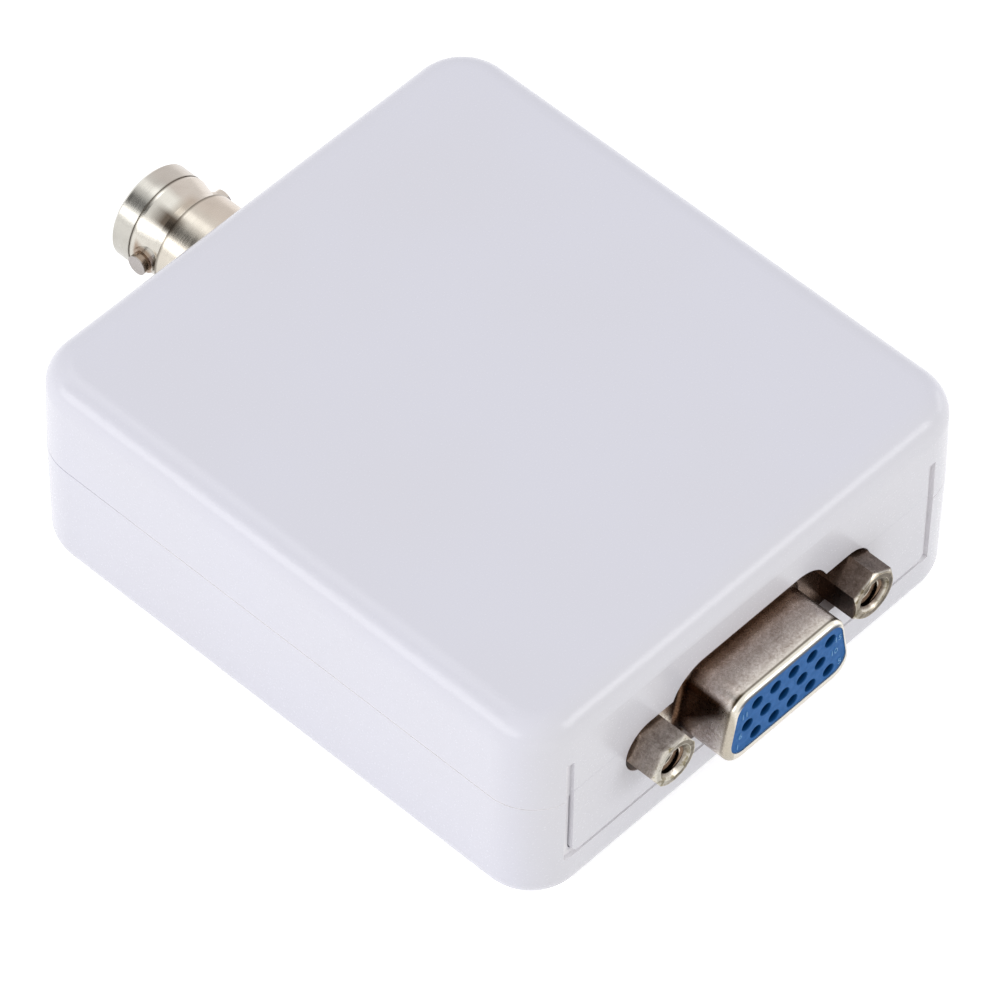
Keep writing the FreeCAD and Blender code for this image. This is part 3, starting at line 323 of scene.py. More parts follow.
def solder_mask():
    """Green lacquer, a little shiny, over the raised tracks."""
    material, tree, shader = new_material("solder_mask", roughness=0.3, metallic=0.0)
    place = add(tree, "ShaderNodeTexCoord")
    tracks = add(tree, "ShaderNodeTexBrick", {"Vector": place.outputs["Object"], "Scale": TRACK_SCALE,
                                              "Mortar Size": TRACK_WIDTH, "Mortar Smooth": TRACK_SOFTNESS},
                 offset=0.5, squash=1.0).outputs["Fac"]
    tree.links.new(mix_colours(tree, tracks, MASK_GREEN, TRACK_GREEN), shader.inputs["Base Color"])
    bump(tree, shader, tracks, TRACK_HEIGHT)
    shader.inputs["Coat Weight"].default_value = 0.4
    shader.inputs["Coat Roughness"].default_value = 0.15
    return material


finish("circuit_board", solder_mask())


# VGA socket's shell, flange, brackets and bushes: drawn and stamped steel, nickel-plated, with
# the flange held to the board by two pegged brackets. The satin surface is mottled. Painted shade
# and painted reflection make it brown towards the case and dark on both side walls, and a painted
# ivory highlight lies round the rim.
# Tones along Y, painted light and shade: light at the rim, darker where the shell mirrors the case wall, dark
# brown painted shade at the case, and a painted highlight on the base fillet
SHELL_PAINTED_LIGHT_TONES = ((-35.30, (0.70, 0.66, 0.58)), (-34.60, (0.66, 0.61, 0.54)), (-34.20, (0.76, 0.71, 0.66)),
               (-33.50, (0.56, 0.505, 0.475)), (-32.60, (0.44, 0.385, 0.355)), (-31.70, (0.46, 0.385, 0.345)),
               (-31.00, (0.54, 0.42, 0.35)), (-30.50, (0.46, 0.33, 0.255)), (-30.10, (0.22, 0.14, 0.095)),
               (-29.85, (0.22, 0.14, 0.10)), (-29.60, (0.84, 0.75, 0.67)), (-29.35, (0.72, 0.66, 0.57)))
# On top of the rim: a painted dark reflection at the front edge, a painted ivory highlight on the bend, a thin
# dark line, then lighter behind
RIM_PAINTED_LIGHT_TONES = ((-35.30, (0.08, 0.10, 0.14)), (-35.22, (0.13, 0.14, 0.16)), (-35.13, (0.84, 0.80, 0.71)),
                 (-34.82, (0.84, 0.80, 0.71)), (-34.72, (0.26, 0.23, 0.19)), (-34.62, (0.26, 0.23, 0.19)),
                 (-34.50, (0.80, 0.75, 0.69)), (-34.20, (0.76, 0.71, 0.66)))
RIM_BACK = (-34.35, -34.20)
RIM_TOP_HEIGHT = (15.0, 15.5)
SPECK_TONES = (0.38, 0.62)
SHELL_CLOUDS = 900.0
SHELL_SPECKS = 4200.0
SHELL_SMOOTH, SHELL_DULL = 0.22, 0.36
SHELL_PEEL = 0.004 * MM
# Dull mottle, which is weak on the rim
DULL_TINT = (0.55, 0.50, 0.47)
DULL_ON_RIM = 0.15
DULL_FADE = (-34.9, -34.0)
# Left side of the rim in painted shade, and painted dark shadows behind the rim at the two upper corners
RIM_SIDE_SHADE_TINT = (0.70, 0.68, 0.64)
RIM_SIDE_ACROSS = (-8.1, -7.9)
RIM_SIDE_BACK = (-34.6, -34.4)
WEDGE_SHADOW_TINT = (0.22, 0.19, 0.15)
WEDGE_LEFT = (-6.75, -6.25)
WEDGE_RIGHT = (4.35, 4.75)
WEDGE_FRONT = (-34.82, -34.72)
WEDGE_BACK = (-34.55, -34.25)
WEDGE_HEIGHT = (15.2, 15.6)
# Painted shade and painted dark reflection on both side walls. On the left it starts further forward the
# higher it lies
WALL_SHADE_TINT = (0.17, 0.105, 0.070)
WALL_SHADE_RIGHT = (5.9, 6.3)
WALL_SHADE_RIGHT_START = (-33.8, -32.8)
WALL_SHADE_LEFT = (-8.05, -7.75)
WALL_SHADE_LEFT_FADE = (-0.3, 0.7)
WALL_SHADE_LEFT_LOW, WALL_SHADE_LEFT_HIGH = -30.7, -34.1
WALL_SHADE_LEFT_HEIGHT = (11.0, 14.0)
FLANGE_LEFT = (-9.7, -9.3)


def mottle(tree, skin):
    """0 to 1 mask of the dull spots in a plating, from its cloud and its specks."""
    cloud = rise(tree, skin.outputs["Cloud"], CLOUD_TONES)
    speck = rise(tree, skin.outputs["Speck"], SPECK_TONES)
    return multiply(tree, calculate(tree, "ADD", cloud, speck), 0.5)


def shell_nickel():
    """Satin nickel with painted light and shade along the shell, a dull mottle, a painted highlight round the
    rim and painted shade on the side walls.
    """
    material, tree, shader = new_material("vga_nickel", roughness=0.3, metallic=1.0)
    skin = place_group(tree, plating, Cloud_size=SHELL_CLOUDS, Speck_size=SHELL_SPECKS)
    across, along, height = (place_on(tree, axis) for axis in "XYZ")
    on_top = multiply(tree, fall(tree, along, RIM_BACK), rise(tree, height, RIM_TOP_HEIGHT))
    # Tones along Y: painted light and shade
    metal = mix_colours(tree, on_top, colour_along(tree, along, SHELL_PAINTED_LIGHT_TONES),
                        colour_along(tree, along, RIM_PAINTED_LIGHT_TONES))
    dull = multiply(tree, mottle(tree, skin), spread(tree, along, DULL_ON_RIM, 1.0, DULL_FADE))
    metal = tinted(tree, dull, metal, DULL_TINT)
    # Painted shade on the left side of the rim
    rim_side = multiply(tree, fall(tree, across, RIM_SIDE_ACROSS), fall(tree, along, RIM_SIDE_BACK))
    metal = tinted(tree, rim_side, metal, RIM_SIDE_SHADE_TINT)
    # Painted shadows behind the rim at its two upper corners
    corners = calculate(tree, "MAXIMUM", fall(tree, across, WEDGE_LEFT), rise(tree, across, WEDGE_RIGHT))
    wedge = multiply(tree, fall(tree, along, WEDGE_BACK), rise(tree, along, WEDGE_FRONT), corners,
                     rise(tree, height, WEDGE_HEIGHT))
    metal = tinted(tree, wedge, metal, WEDGE_SHADOW_TINT)
    # Painted shade and painted dark reflection on both side walls
    right = multiply(tree, rise(tree, along, WALL_SHADE_RIGHT_START), rise(tree, across, WALL_SHADE_RIGHT))
    metal = tinted(tree, right, metal, WALL_SHADE_TINT)
    start = spread(tree, height, WALL_SHADE_LEFT_LOW, WALL_SHADE_LEFT_HIGH, WALL_SHADE_LEFT_HEIGHT)
    left = multiply(tree, rise(tree, calculate(tree, "SUBTRACT", along, start), WALL_SHADE_LEFT_FADE),
                    fall(tree, across, WALL_SHADE_LEFT), rise(tree, across, FLANGE_LEFT))
    metal = tinted(tree, left, metal, WALL_SHADE_TINT)
    tree.links.new(metal, shader.inputs["Base Color"])
    speckle(tree, shader, skin, SHELL_SMOOTH, SHELL_DULL, SHELL_PEEL)
    return material


vga_nickel = shell_nickel()
for name in ("vga_shell", "vga_rear_shell", "vga_board_locks", "vga_nuts"):
    finish(name, vga_nickel)


# VGA socket's insulator: blue glass-filled moulding with 15 holes, clamped between the two
# halves of the flange, with small raised numerals beside the end holes of each row.
INSULATOR_FACE = -35.18
FACE_BLUES = ((0.030, 0.122, 0.332), (0.045, 0.152, 0.398))
# Painted shade: dark blue of the hole walls behind the face
HOLE_SHADE_BLUE = (0.003, 0.045, 0.150)
HOLE_MOUTH = (INSULATOR_FACE + 0.02, INSULATOR_FACE + 0.12)
FACE_SPECULAR = 0.03
NUMERAL_BLUES = ((0.08, 0.26, 0.53), (0.10, 0.31, 0.58))
NUMERAL_HEIGHT = 0.95
NUMERAL_RAISED = 0.03
# Contact number, and its place across and up
NUMERALS = (("1", -7.5, 10.2), ("5", 5.35, 10.3), ("6", -7.2, 11.4), ("10", 4.55, 12.2),
            ("11", -6.75, 13.8), ("15", 4.95, 13.7))
blue_plastic = moulded_plastic("blue_insulator", *FACE_BLUES, roughness=0.42,
                               fineness=9000.0, depth=0.006 * MM, patch=1500.0)


def paint_shade_in_holes(material):
    """Painted shade: the hole walls behind the face are painted dark blue."""
    tree, shader, face = open_material(material)
    shader.inputs["Specular IOR Level"].default_value = FACE_SPECULAR
    behind = rise(tree, place_on(tree, "Y"), HOLE_MOUTH)
    tree.links.new(mix_colours(tree, behind, face, HOLE_SHADE_BLUE), shader.inputs["Base Color"])


paint_shade_in_holes(blue_plastic)
finish("vga_insulator", blue_plastic)
numeral_blue = moulded_plastic("numeral_blue", *NUMERAL_BLUES, roughness=0.4, fineness=9000.0)


def numeral(text, x, z):
    """Raised number that stands on the insulator's face."""
    curve = bpy.data.curves.new("numeral_" + text, "FONT")
    curve.body = text
    curve.size = NUMERAL_HEIGHT * MM
    curve.extrude = NUMERAL_RAISED * MM
    curve.align_x = "CENTER"
    curve.align_y = "CENTER"
    curve.materials.append(numeral_blue)
    piece = bpy.data.objects.new("numeral_" + text, curve)
    bpy.context.scene.collection.objects.link(piece)
    piece.matrix_world = (Matrix.Translation((x * MM, (INSULATOR_FACE - NUMERAL_RAISED) * MM, z * MM))
                          @ Matrix.Rotation(math.radians(90), 4, "X"))
    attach(piece, "root")


for text, x, z in NUMERALS:
    numeral(text, x, z)


# VGA contacts: rolled phosphor-bronze sockets with a gold flash, which sit in the insulator's
# holes. Their square tails bend down behind the block and are soldered into the board.
GOLD = ((0.60, 0.40, 0.14), (0.86, 0.63, 0.27))
gold_flash = plated_metal("gold_flash", GOLD, smooth=0.2, dull=0.34, clouds=900.0)
finish("vga_contacts", gold_flash)


# Jackscrews: hexagon bar turned down, drilled and tapped, and screwed through the flange into
# the brackets' bushes. Their nickel has gone dull and brown, and is bright at the edges and the
# lower countersink. Painted shade darkens the ring of the end face, the upper countersink, the hole
# and the left-facing flats of the right screw. The inside thread of each is a piece of its own, a
# ridge on a helix.
JACK_X = (-13.445, 11.545)
JACK_Z = 12.2
SCREW_TONES = ((-33.55, (0.60, 0.57, 0.50)), (-33.38, (0.68, 0.64, 0.57)), (-33.24, (0.50, 0.46, 0.41)),
               (-33.00, (0.38, 0.34, 0.305)), (-32.00, (0.33, 0.29, 0.26)), (-31.00, (0.34, 0.28, 0.235)),
               (-30.40, (0.52, 0.40, 0.31)), (-29.35, (0.62, 0.49, 0.39)))
SCREW_CLOUDS = 1100.0
SCREW_SPECKS = 3800.0
SCREW_SMOOTH, SCREW_DULL = 0.24, 0.40
SCREW_PEEL = 0.006 * MM
# The right screw is darker than the left one, and its left-facing flats carry painted shade
RIGHT_SCREW = (-1.0, 1.0)
RIGHT_TINT = (0.50, 0.44, 0.41)
RIGHT_FACE_TINT = (0.60, 0.55, 0.49)
RIGHT_FACE_FADE = (-33.50, -33.42)
RIGHT_SIDE_SHADE_TINT = (0.34, 0.26, 0.21)
RIGHT_SIDE_TURN = (-0.97, -0.80)
# Hexagon behind the chamfered end, with stains in front of it and a mottle on it
HEXAGON_START = (-33.38, -33.2)
STAIN_TINT = (0.50, 0.46, 0.34)
STAIN_CLOUD = (0.50, 0.58)
MOTTLE_TINT = (0.46, 0.42, 0.40)
MOTTLE_ON_FACE = 0.3
# End face round the countersink, the countersink, and the hole, by distance from the axis, each with its
# painted shade
FACE_START = (-33.52, -33.48)
RING_INSIDE = (1.86, 1.92)
RING_OUTSIDE = (2.25, 2.35)
RING_SHADE_TINT = (0.32, 0.29, 0.25)
RING_ON_LEFT = 0.35
RING_ACROSS = (-1.6, 0.3)
CONE_OUTSIDE = (1.82, 1.86)
CONE_SHADE_TINT = (0.40, 0.38, 0.33)
CONE_BELOW = 0.15
CONE_HEIGHT = (-1.1, 0.2)
HOLE_OUTSIDE = (1.425, 1.44)
HOLE_START = (-33.2, -33.05)
HOLE_SHADE_TINT = (0.10, 0.075, 0.055)
# Thread: its metal, then the ridge. Its run-in and run-out are in turns, and its foot in pitches
THREAD_TONES = ((0.60, 0.55, 0.48), (0.84, 0.80, 0.72))
# Painted shade on the thread's flanks and deeper in the hole
FLANK_SHADE_TINT = (0.24, 0.17, 0.13)
DEEP_SHADE_TINT = (0.50, 0.42, 0.36)
DEEP_FADE = (-33.0, -31.4)
THREAD_START = -33.0
THREAD_PITCH = 0.635
THREAD_TURNS = 5.0
THREAD_STEPS = 40
THREAD_OUTER = 1.44
THREAD_INNER = 1.13
THREAD_HALF_FOOT = 0.46
THREAD_CREST_FLAT = 0.18
THREAD_RUN_IN = 0.25
THREAD_RUN_OUT = 0.5
THREAD_LEAST = 0.05
FLANK_FADE = (THREAD_INNER + 0.02, THREAD_INNER + 0.08)


def off_screw_axis(tree):
    """Offsets along X and Z from the axis of the nearer jackscrew, and the distance, in mm."""
    half = (JACK_X[1] - JACK_X[0]) / 2
    folded = calculate(tree, "WRAP", place_on(tree, "X"), JACK_X[0] + half, JACK_X[0] - half)
    aside = calculate(tree, "SUBTRACT", folded, JACK_X[0])
    above = calculate(tree, "SUBTRACT", place_on(tree, "Z"), JACK_Z)
    flat = add(tree, "ShaderNodeCombineXYZ", {"X": aside, "Y": above})
    distance = add(tree, "ShaderNodeVectorMath", {0: flat.outputs[0]}, operation="LENGTH").outputs["Value"]
    return aside, above, distance


def worn_nickel():
    """Dull, stained nickel, with the end face, the countersink and the hole each in its own tone of painted
    shade, and painted shade on the right screw's left-facing flats.
    """
    material, tree, shader = new_material("jackscrew_nickel", roughness=0.32, metallic=1.0)
    skin = place_group(tree, plating, Cloud_size=SCREW_CLOUDS, Speck_size=SCREW_SPECKS)
    along = place_on(tree, "Y")
    aside, above, radius = off_screw_axis(tree)
    on_hexagon = rise(tree, along, HEXAGON_START)
    on_right = rise(tree, place_on(tree, "X"), RIGHT_SCREW)
    metal = colour_along(tree, along, SCREW_TONES)
    metal = tinted(tree, multiply(tree, on_hexagon, on_right), metal, RIGHT_TINT)
    stain = multiply(tree, rise(tree, skin.outputs["Cloud"], STAIN_CLOUD), fall(tree, on_hexagon))
    metal = tinted(tree, stain, metal, STAIN_TINT)
    metal = tinted(tree, multiply(tree, fall(tree, along, RIGHT_FACE_FADE), on_right), metal, RIGHT_FACE_TINT)
    dull = multiply(tree, mottle(tree, skin), spread(tree, on_hexagon, MOTTLE_ON_FACE, 1.0))
    metal = tinted(tree, dull, metal, MOTTLE_TINT)
    # Painted shade on the ring of the end face, weaker on its left, and on the upper countersink
    ring = multiply(tree, rise(tree, radius, RING_INSIDE), fall(tree, radius, RING_OUTSIDE),
                    fall(tree, along, FACE_START), spread(tree, aside, RING_ON_LEFT, 1.0, RING_ACROSS))
    metal = tinted(tree, ring, metal, RING_SHADE_TINT)
    cone = multiply(tree, fall(tree, radius, CONE_OUTSIDE), spread(tree, above, CONE_BELOW, 1.0, CONE_HEIGHT))
    metal = tinted(tree, cone, metal, CONE_SHADE_TINT)
    # Painted shade on the left-facing flats of the right screw
    facing = add(tree, "ShaderNodeSeparateXYZ", {"Vector": add(tree, "ShaderNodeTexCoord").outputs["Normal"]})
    turned_left = fall(tree, facing.outputs["X"], RIGHT_SIDE_TURN)
    metal = tinted(tree, multiply(tree, turned_left, on_right), metal, RIGHT_SIDE_SHADE_TINT)
    # Painted shade in the hole
    in_hole = multiply(tree, fall(tree, radius, HOLE_OUTSIDE), rise(tree, along, HOLE_START))
    metal = tinted(tree, in_hole, metal, HOLE_SHADE_TINT)
    tree.links.new(metal, shader.inputs["Base Color"])
    speckle(tree, shader, skin, SCREW_SMOOTH, SCREW_DULL, SCREW_PEEL)
    return material


finish("jackscrews", worn_nickel())


def thread_metal():
    """Bright crests, with painted shade on the flanks and more painted shade deeper in."""
    material = plated_metal("thread_nickel", THREAD_TONES, smooth=0.2, dull=0.32, clouds=1500.0)
    tree, shader, bright = open_material(material)
    flank = rise(tree, off_screw_axis(tree)[2], FLANK_FADE)
    deep = rise(tree, place_on(tree, "Y"), DEEP_FADE)
    metal = tinted(tree, deep, tinted(tree, flank, bright, FLANK_SHADE_TINT), DEEP_SHADE_TINT)
    tree.links.new(metal, shader.inputs["Base Color"])
    return material


def new_piece(name, mesh_builder, material):
    """Mesh object that rides with the model, built by a function that fills a bmesh."""
    mesh = bpy.data.meshes.new(name)
    bm = bmesh.new()
    mesh_builder(bm)
    bmesh.ops.recalc_face_normals(bm, faces=bm.faces)
    bm.to_mesh(mesh)
    bm.free()
    mesh.materials.append(material)
    piece = bpy.data.objects.new(name, mesh)
    bpy.context.scene.collection.objects.link(piece)
    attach(piece, "root")


def thread_ridge(x, z):
    """Returns a builder for the inside thread: a ridge with a trapezoid section on a helix."""
    def build(bm):
        rows = []
        for i in range(int(THREAD_TURNS * THREAD_STEPS) + 1):
            angle = 2 * math.pi * i / THREAD_STEPS - math.pi / 2
            y = THREAD_START + THREAD_PITCH * i / THREAD_STEPS
            run_in = i / THREAD_STEPS / THREAD_RUN_IN
            run_out = (THREAD_TURNS * THREAD_STEPS - i) / THREAD_STEPS / THREAD_RUN_OUT
            full = max(min(1.0, run_in, run_out), THREAD_LEAST)
            crest = THREAD_OUTER - (THREAD_OUTER - THREAD_INNER) * full
            foot = THREAD_PITCH * THREAD_HALF_FOOT * full
            flat = foot * THREAD_CREST_FLAT
            row = []
            for radius, dy in ((THREAD_OUTER, -foot), (crest, -flat), (crest, flat), (THREAD_OUTER, foot)):
                row.append(bm.verts.new(((x + radius * math.cos(angle)) * MM, (y + dy) * MM,
                                         (z + radius * math.sin(angle)) * MM)))
            rows.append(row)
        for a, b in zip(rows, rows[1:]):
            for k in range(4):
                bm.faces.new((a[k], a[(k + 1) % 4], b[(k + 1) % 4], b[k]))
        bm.faces.new(rows[0])
        bm.faces.new(rows[-1])
    return build


thread_nickel = thread_metal()
for side, x in zip(("left", "right"), JACK_X):
    new_piece("thread_" + side, thread_ridge(x, JACK_Z), thread_nickel)


# BNC jack: die-cast and turned body with bright nickel plating. It stands on the board with two
# posts, and comes out through the round opening of both shells. The lathe leaves fine rings round
# the barrel. The nickel is cream, with a painted pink shade on the top and far side, a painted
# sheen on top, and painted shade in the groove, at the step, on the shoulder, above the near lug
# and on its shank.
BNC_X = -0.5
BNC_Z = 12.2
BNC_CREAM = (0.62, 0.595, 0.54)
# Painted shade tone: pinker on the top and the far side of the barrel
BNC_PINK_SHADE = (0.635, 0.572, 0.514)
PINK_FADE = (78.0, 96.0)
CLOUD_TINT = (0.88, 0.87, 0.865)
BNC_TONES = ((30.0, (0.98, 0.95, 0.92)), (36.2, (0.98, 0.95, 0.92)), (36.5, (1.0, 1.0, 1.0)),
             (39.5, (1.0, 1.0, 1.0)), (39.8, (0.86, 0.87, 0.88)), (43.0, (0.84, 0.85, 0.86)))
BNC_CLOUDS = 350.0
BNC_SPECKS = 3000.0
# Lathe rings: how fine they are, their stretch round the barrel, roughness and depth
RINGS = 7000.0
RING_STRETCH = (0.03, 1.0, 0.03)
RING_SMOOTH, RING_DULL = 0.22, 0.30
RING_DEPTH = 0.002 * MM
# Patch on the barrel: degrees round it and their fade, then place along Y and its fade
# Painted highlight: a sheen on top of the barrel
PAINTED_SHEEN_PATCH = ((75.0, 84.0), 9.0, (38.2, 39.5), 1.0)
PAINTED_SHEEN = (0.80, 0.77, 0.70)
# Painted shade on the top, just ahead of the rear step
SHOULDER_PATCH = ((74.0, 100.0), 12.0, (36.9, 37.2), 0.8)
SHOULDER_SHADE_TINT = (0.80, 0.75, 0.70)
# Painted shade and painted dark reflection above the near lug
SHADE_PATCH = ((54.0, 66.0), 8.0, (36.4, 37.7), 1.3)
SHADE_TINT = (0.25, 0.21, 0.18)
# Painted shade in the groove and at the step: place along Y, its fade, and strength
GROOVE_SHADE_RINGS = (((39.60, 39.70), 0.16, 0.60), ((36.25, 36.35), 0.20, 0.70))
GROOVE_SHADE = (0.10, 0.08, 0.06)
# Near lug: its shank and head by distance left of the barrel's axis, and its place along Y. The shank carries
# painted shade
LUG_ROOT = (4.30, 4.55)
LUG_SHANK_END = (5.35, 5.45)
LUG_HEAD = (5.40, 5.50)
LUG_ALONG = (37.0, 39.0)
LUG_FADE = 0.25
LUG_SHANK_SHADE_TINT = (0.60, 0.49, 0.42)
LUG_HEAD_TINT = (0.68, 0.66, 0.70)


def turned_rings_group():
    """Lathe marks on a body turned about an axis along Y: rings as a tone and a height."""
    group, enter, leave = new_group("turned_rings", {"Rings": RINGS}, ("Tone", "Height"))
    place = add(group, "ShaderNodeTexCoord").outputs["Object"]
    stretch = add(group, "ShaderNodeMapping", {"Vector": place, "Scale": RING_STRETCH}).outputs["Vector"]
    fine = noise(group, stretch, enter.outputs["Rings"], detail=4.0, roughness=0.75)
    group.links.new(fine, leave.inputs["Tone"])
    group.links.new(fine, leave.inputs["Height"])
    return group


turned_rings = turned_rings_group()


def round_barrel(tree):
    """Distance left of the barrel's axis in mm, and angle round it: 0 at the near lug, 90 at the top."""
    left = calculate(tree, "SUBTRACT", BNC_X, place_on(tree, "X"))
    up = calculate(tree, "SUBTRACT", place_on(tree, "Z"), BNC_Z)
    return left, multiply(tree, calculate(tree, "ARCTAN2", up, left), 180 / math.pi)


def turned_nickel():
    """Bright nickel with lathe rings, a painted sheen on top, and painted shade in the groove, at the step and
    by the near lug.
    """
    material, tree, shader = new_material("bnc_nickel", roughness=0.2, metallic=1.0)
    rings = place_group(tree, turned_rings, Rings=RINGS)
    skin = place_group(tree, plating, Cloud_size=BNC_CLOUDS, Speck_size=BNC_SPECKS)
    along = place_on(tree, "Y")
    left, angle = round_barrel(tree)

    def patch(degrees, angle_fade, place, place_fade):
        """Mask of a patch on the barrel."""
        return multiply(tree, within(tree, angle, degrees, angle_fade), within(tree, along, place, place_fade))

    # Painted pink shade on the top and far side
    far_side = rise(tree, calculate(tree, "ABSOLUTE", angle), PINK_FADE)
    metal = mix_colours(tree, far_side, BNC_CREAM, BNC_PINK_SHADE)
    metal = tinted(tree, fall(tree, rise(tree, skin.outputs["Cloud"], NOISE_MIDDLE)), metal, CLOUD_TINT)
    # Painted highlight on top of the barrel
    metal = mix_colours(tree, patch(*PAINTED_SHEEN_PATCH), metal, PAINTED_SHEEN)
    metal = tinted(tree, 1.0, metal, colour_along(tree, along, BNC_TONES))
    # Painted shade on the shoulder
    metal = tinted(tree, patch(*SHOULDER_PATCH), metal, SHOULDER_SHADE_TINT)
    # Painted shade above the near lug
    metal = tinted(tree, patch(*SHADE_PATCH), metal, SHADE_TINT)
    # Painted shade in the groove and at the step
    for place, fade, strength in GROOVE_SHADE_RINGS:
        metal = mix_colours(tree, multiply(tree, within(tree, along, place, fade), strength), metal, GROOVE_SHADE)
    # Painted shade on the near lug's shank
    shank = multiply(tree, rise(tree, left, LUG_ROOT), fall(tree, left, LUG_SHANK_END),
                     within(tree, along, LUG_ALONG, LUG_FADE))
    metal = tinted(tree, shank, metal, LUG_SHANK_SHADE_TINT)
    metal = tinted(tree, rise(tree, left, LUG_HEAD), metal, LUG_HEAD_TINT)
    tree.links.new(metal, shader.inputs["Base Color"])
    rough = spread(tree, rings.outputs["Tone"], RING_SMOOTH, RING_DULL, NOISE_MIDDLE)
    tree.links.new(rough, shader.inputs["Roughness"])
    bump(tree, shader, rings.outputs["Height"], RING_DEPTH)
    return material


finish("bnc_body", turned_nickel())


# BNC dielectric and centre contact: a natural acetal post, turned and pushed into the jack, with
# the gold-flashed socket for the plug's pin in its bore.
ACETAL_WHITE = ((0.72, 0.71, 0.66), (0.80, 0.79, 0.74))
acetal = moulded_plastic("bnc_dielectric", *ACETAL_WHITE, roughness=0.4, fineness=6000.0, patch=300.0)
finish("bnc_insulator", acetal)
finish("bnc_centre_contact", gold_flash)


# Components on the board: black epoxy packages, a drawn crystal can, aluminium capacitors
# and small ceramic chips, all soldered to the upper side.
EPOXY_BLACK = ((0.012, 0.012, 0.013), (0.022, 0.022, 0.023))
CAN_STEEL = ((0.52, 0.52, 0.51), (0.72, 0.72, 0.71))
CAN_ALUMINIUM = ((0.60, 0.60, 0.62), (0.78, 0.78, 0.79))
CERAMIC_BROWN = ((0.30, 0.20, 0.12), (0.38, 0.27, 0.17))
chip_epoxy = moulded_plastic("chip_epoxy", *EPOXY_BLACK, roughness=0.5,
                             fineness=8000.0, depth=0.006 * MM, patch=400.0)
for name in ("converter_chip", "memory_chip", "regulator"):
    finish(name, chip_epoxy)
finish("crystal", plated_metal("crystal_can", CAN_STEEL, smooth=0.18, dull=0.3))
finish("electrolytic_capacitors", plated_metal("capacitor_can", CAN_ALUMINIUM, smooth=0.22, dull=0.36))
ceramic = moulded_plastic("capacitor_ceramic", *CERAMIC_BROWN, roughness=0.55, fineness=7000.0, patch=700.0)
finish("chip_capacitors", ceramic)


# Power socket: folded steel sleeve, plated, with a black tongue and five flat contacts with a
# gold flash. It is soldered to the board behind the opening in the back wall.
SLEEVE_NICKEL = ((0.48, 0.47, 0.45), (0.68, 0.67, 0.65))
SOCKET_BLACK = ((0.014, 0.014, 0.015), (0.024, 0.024, 0.026))
socket_black = moulded_plastic("socket_black", *SOCKET_BLACK, roughness=0.45, fineness=8000.0, patch=500.0)
finish("power_socket_shell", plated_metal("socket_nickel", SLEEVE_NICKEL, smooth=0.22, dull=0.36))
finish("power_socket_insulator", socket_black)
finish("power_socket_contacts", gold_flash)


# Floor: a matt pale sheet, one flat face. It gives off a little light of its own where it is
# seen, so that it stays white and still keeps the shadow.
FLOOR_SIZE = 2.4
FLOOR_WHITE = 0.9
FLOOR_LIFT = 0.45


def flat_sheet(name, width, depth):
    """One flat face round the origin, put into the scene."""
    mesh = bpy.data.meshes.new(name)
    bm = bmesh.new()
    corners = [bm.verts.new((side_x * width / 2, side_y * depth / 2, 0.0))
               for side_x, side_y in ((-1, -1), (1, -1), (1, 1), (-1, 1))]
    bm.faces.new(corners)
    bm.to_mesh(mesh)
    bm.free()
    sheet = bpy.data.objects.new(name, mesh)
    bpy.context.scene.collection.objects.link(sheet)
    return sheet


def matt_material(name, grey, roughness):
    """Grey material without any shine."""
    material, tree, shader = new_material(name, roughness, metallic=0.0)
    shader.inputs["Base Color"].default_value = (grey, grey, grey, 1.0)
    shader.inputs["Specular IOR Level"].default_value = 0.0
    return material, tree, shader


def seen_rays(tree):
    """1 for the rays that see a surface: from the camera, off a shiny one or through a clear one."""
    rays = add(tree, "ShaderNodeLightPath")
    seen = calculate(tree, "MAXIMUM", rays.outputs["Is Camera Ray"], rays.outputs["Is Glossy Ray"])
    return calculate(tree, "MAXIMUM", seen, rays.outputs["Is Transmission Ray"])


def floor_sheet():
    """White sheet under the model."""
    sheet = flat_sheet("floor", FLOOR_SIZE, FLOOR_SIZE)
    material, tree, shader = matt_material("floor_white", FLOOR_WHITE, roughness=0.9)
    shader.inputs["Emission Color"].default_value = (1.0, 1.0, 1.0, 1.0)
    tree.links.new(multiply(tree, seen_rays(tree), FLOOR_LIFT), shader.inputs["Emission Strength"])
    sheet.data.materials.append(material)


floor_sheet()


# Light: an even white surround, a broad lamp from the left, and softer ones from the front, the
# right and above the back. A black card, high up at the back left, is seen by shiny surfaces
# alone and gives the metal its dark bands.
SURROUND_LIGHT = 0.75
SURROUND_SEEN = 1.0
LAMP_TARGET = (0.0, 0.0, 0.01)
# Name, place, width, height and power
LAMPS = (("left_softbox", (-0.60, 0.16, 0.29), 0.85, 0.30, 1.75),
         ("front_softbox", (0.30, -0.62, 0.42), 0.4, 0.25, 1.02),
         ("right_softbox", (0.62, -0.16, 0.12), 0.3, 0.2, 0.24),
         ("top_softbox", (0.06, 0.40, 0.62), 0.22, 0.30, 0.18))
CARD_PLACE = (-0.255, 0.27, 0.36)
CARD_WIDTH = 0.16
CARD_HEIGHT = 0.30


def white_surround():
    """World that gives less light than it shows, so that shadows stay and the ground is white."""
    world = bpy.data.worlds.new("surround")
    bpy.context.scene.world = world
    world.use_nodes = True
    tree = world.node_tree
    tree.nodes.clear()
    level = spread(tree, seen_rays(tree), SURROUND_LIGHT, SURROUND_SEEN)
    shade = add(tree, "ShaderNodeBackground", {"Color": (1.0, 1.0, 1.0, 1.0), "Strength": level})
    leave = add(tree, "ShaderNodeOutputWorld")
    tree.links.new(shade.outputs[0], leave.inputs["Surface"])


def area_lamp(name, place, width, height, power):
    """Rectangular lamp turned to the model."""
    lamp = bpy.data.lights.new(name, "AREA")
    lamp.shape = "RECTANGLE"
    lamp.size = width
    lamp.size_y = height
    lamp.energy = power
    holder = bpy.data.objects.new(name, lamp)
    bpy.context.scene.collection.objects.link(holder)
    holder.location = place
    holder.rotation_euler = (Vector(LAMP_TARGET) - Vector(place)).to_track_quat("-Z", "Y").to_euler()


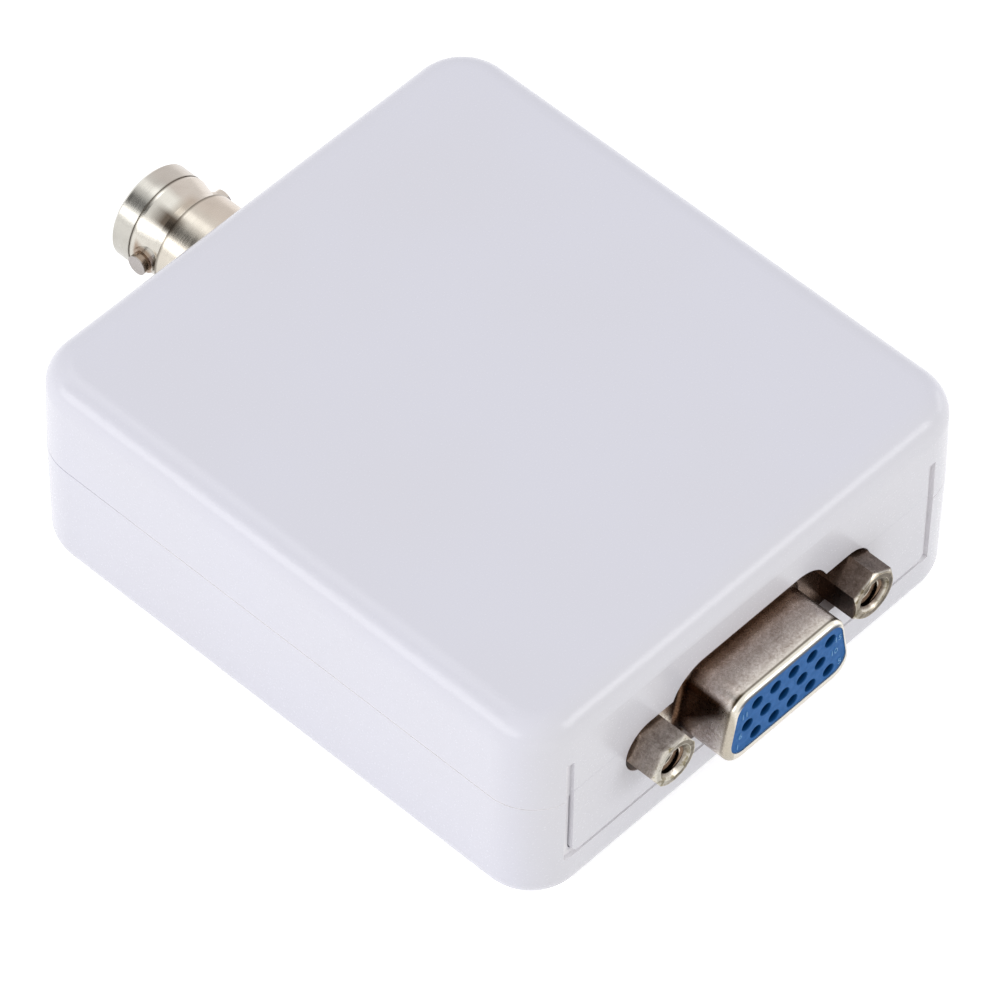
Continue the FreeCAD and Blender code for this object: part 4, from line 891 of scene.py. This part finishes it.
def dark_card(name, place, width, height):
    """Black card that only shiny surfaces show."""
    card = flat_sheet(name, width, height)
    material, tree, shader = matt_material(name, grey=0.0, roughness=1.0)
    card.data.materials.append(material)
    card.location = place
    card.rotation_euler = (-Vector(place)).to_track_quat("-Z", "Y").to_euler()
    card.visible_camera = False
    card.visible_diffuse = False
    card.visible_transmission = False
    card.visible_shadow = False


white_surround()
for lamp in LAMPS:
    area_lamp(*lamp)
dark_card("back_card", CARD_PLACE, CARD_WIDTH, CARD_HEIGHT)


# Camera: a long lens from the left of the front wall, looking down at 50 degrees. Its place and
# lens come from a fit to the photo's outline and to the 15 holes of the VGA socket.
CAMERA_AZIMUTH = math.radians(-47.4477)
CAMERA_ELEVATION = math.radians(50.6140)
CAMERA_ROLL = math.radians(1.2297)
CAMERA_DISTANCE = 692.488 * MM
CAMERA_RIGHT = 0.5232 * MM
CAMERA_UP = 4.2196 * MM
CAMERA_LENS = 284.528
CAMERA_SENSOR = 36.0
CAMERA_NEAR = 0.05
CAMERA_FAR = 10.0


def photo_camera():
    """Camera set up from its two angles, roll, distance and shift."""
    back = Vector((math.sin(CAMERA_AZIMUTH) * math.cos(CAMERA_ELEVATION),
                   -math.cos(CAMERA_AZIMUTH) * math.cos(CAMERA_ELEVATION), math.sin(CAMERA_ELEVATION)))
    level = (-back).cross(Vector((0, 0, 1))).normalized()
    upright = level.cross(-back)
    right = level * math.cos(CAMERA_ROLL) + upright * math.sin(CAMERA_ROLL)
    up = upright * math.cos(CAMERA_ROLL) - level * math.sin(CAMERA_ROLL)
    lens = bpy.data.cameras.new("camera")
    lens.lens = CAMERA_LENS
    lens.sensor_width = CAMERA_SENSOR
    lens.clip_start = CAMERA_NEAR
    lens.clip_end = CAMERA_FAR
    camera = bpy.data.objects.new("camera", lens)
    bpy.context.scene.collection.objects.link(camera)
    place = back * CAMERA_DISTANCE + right * CAMERA_RIGHT + up * CAMERA_UP
    turn = Matrix((right, up, back)).transposed().to_4x4()
    camera.matrix_world = Matrix.Translation(place) @ turn
    bpy.context.scene.camera = camera


photo_camera()
bpy.context.scene.view_settings.view_transform = "Standard"
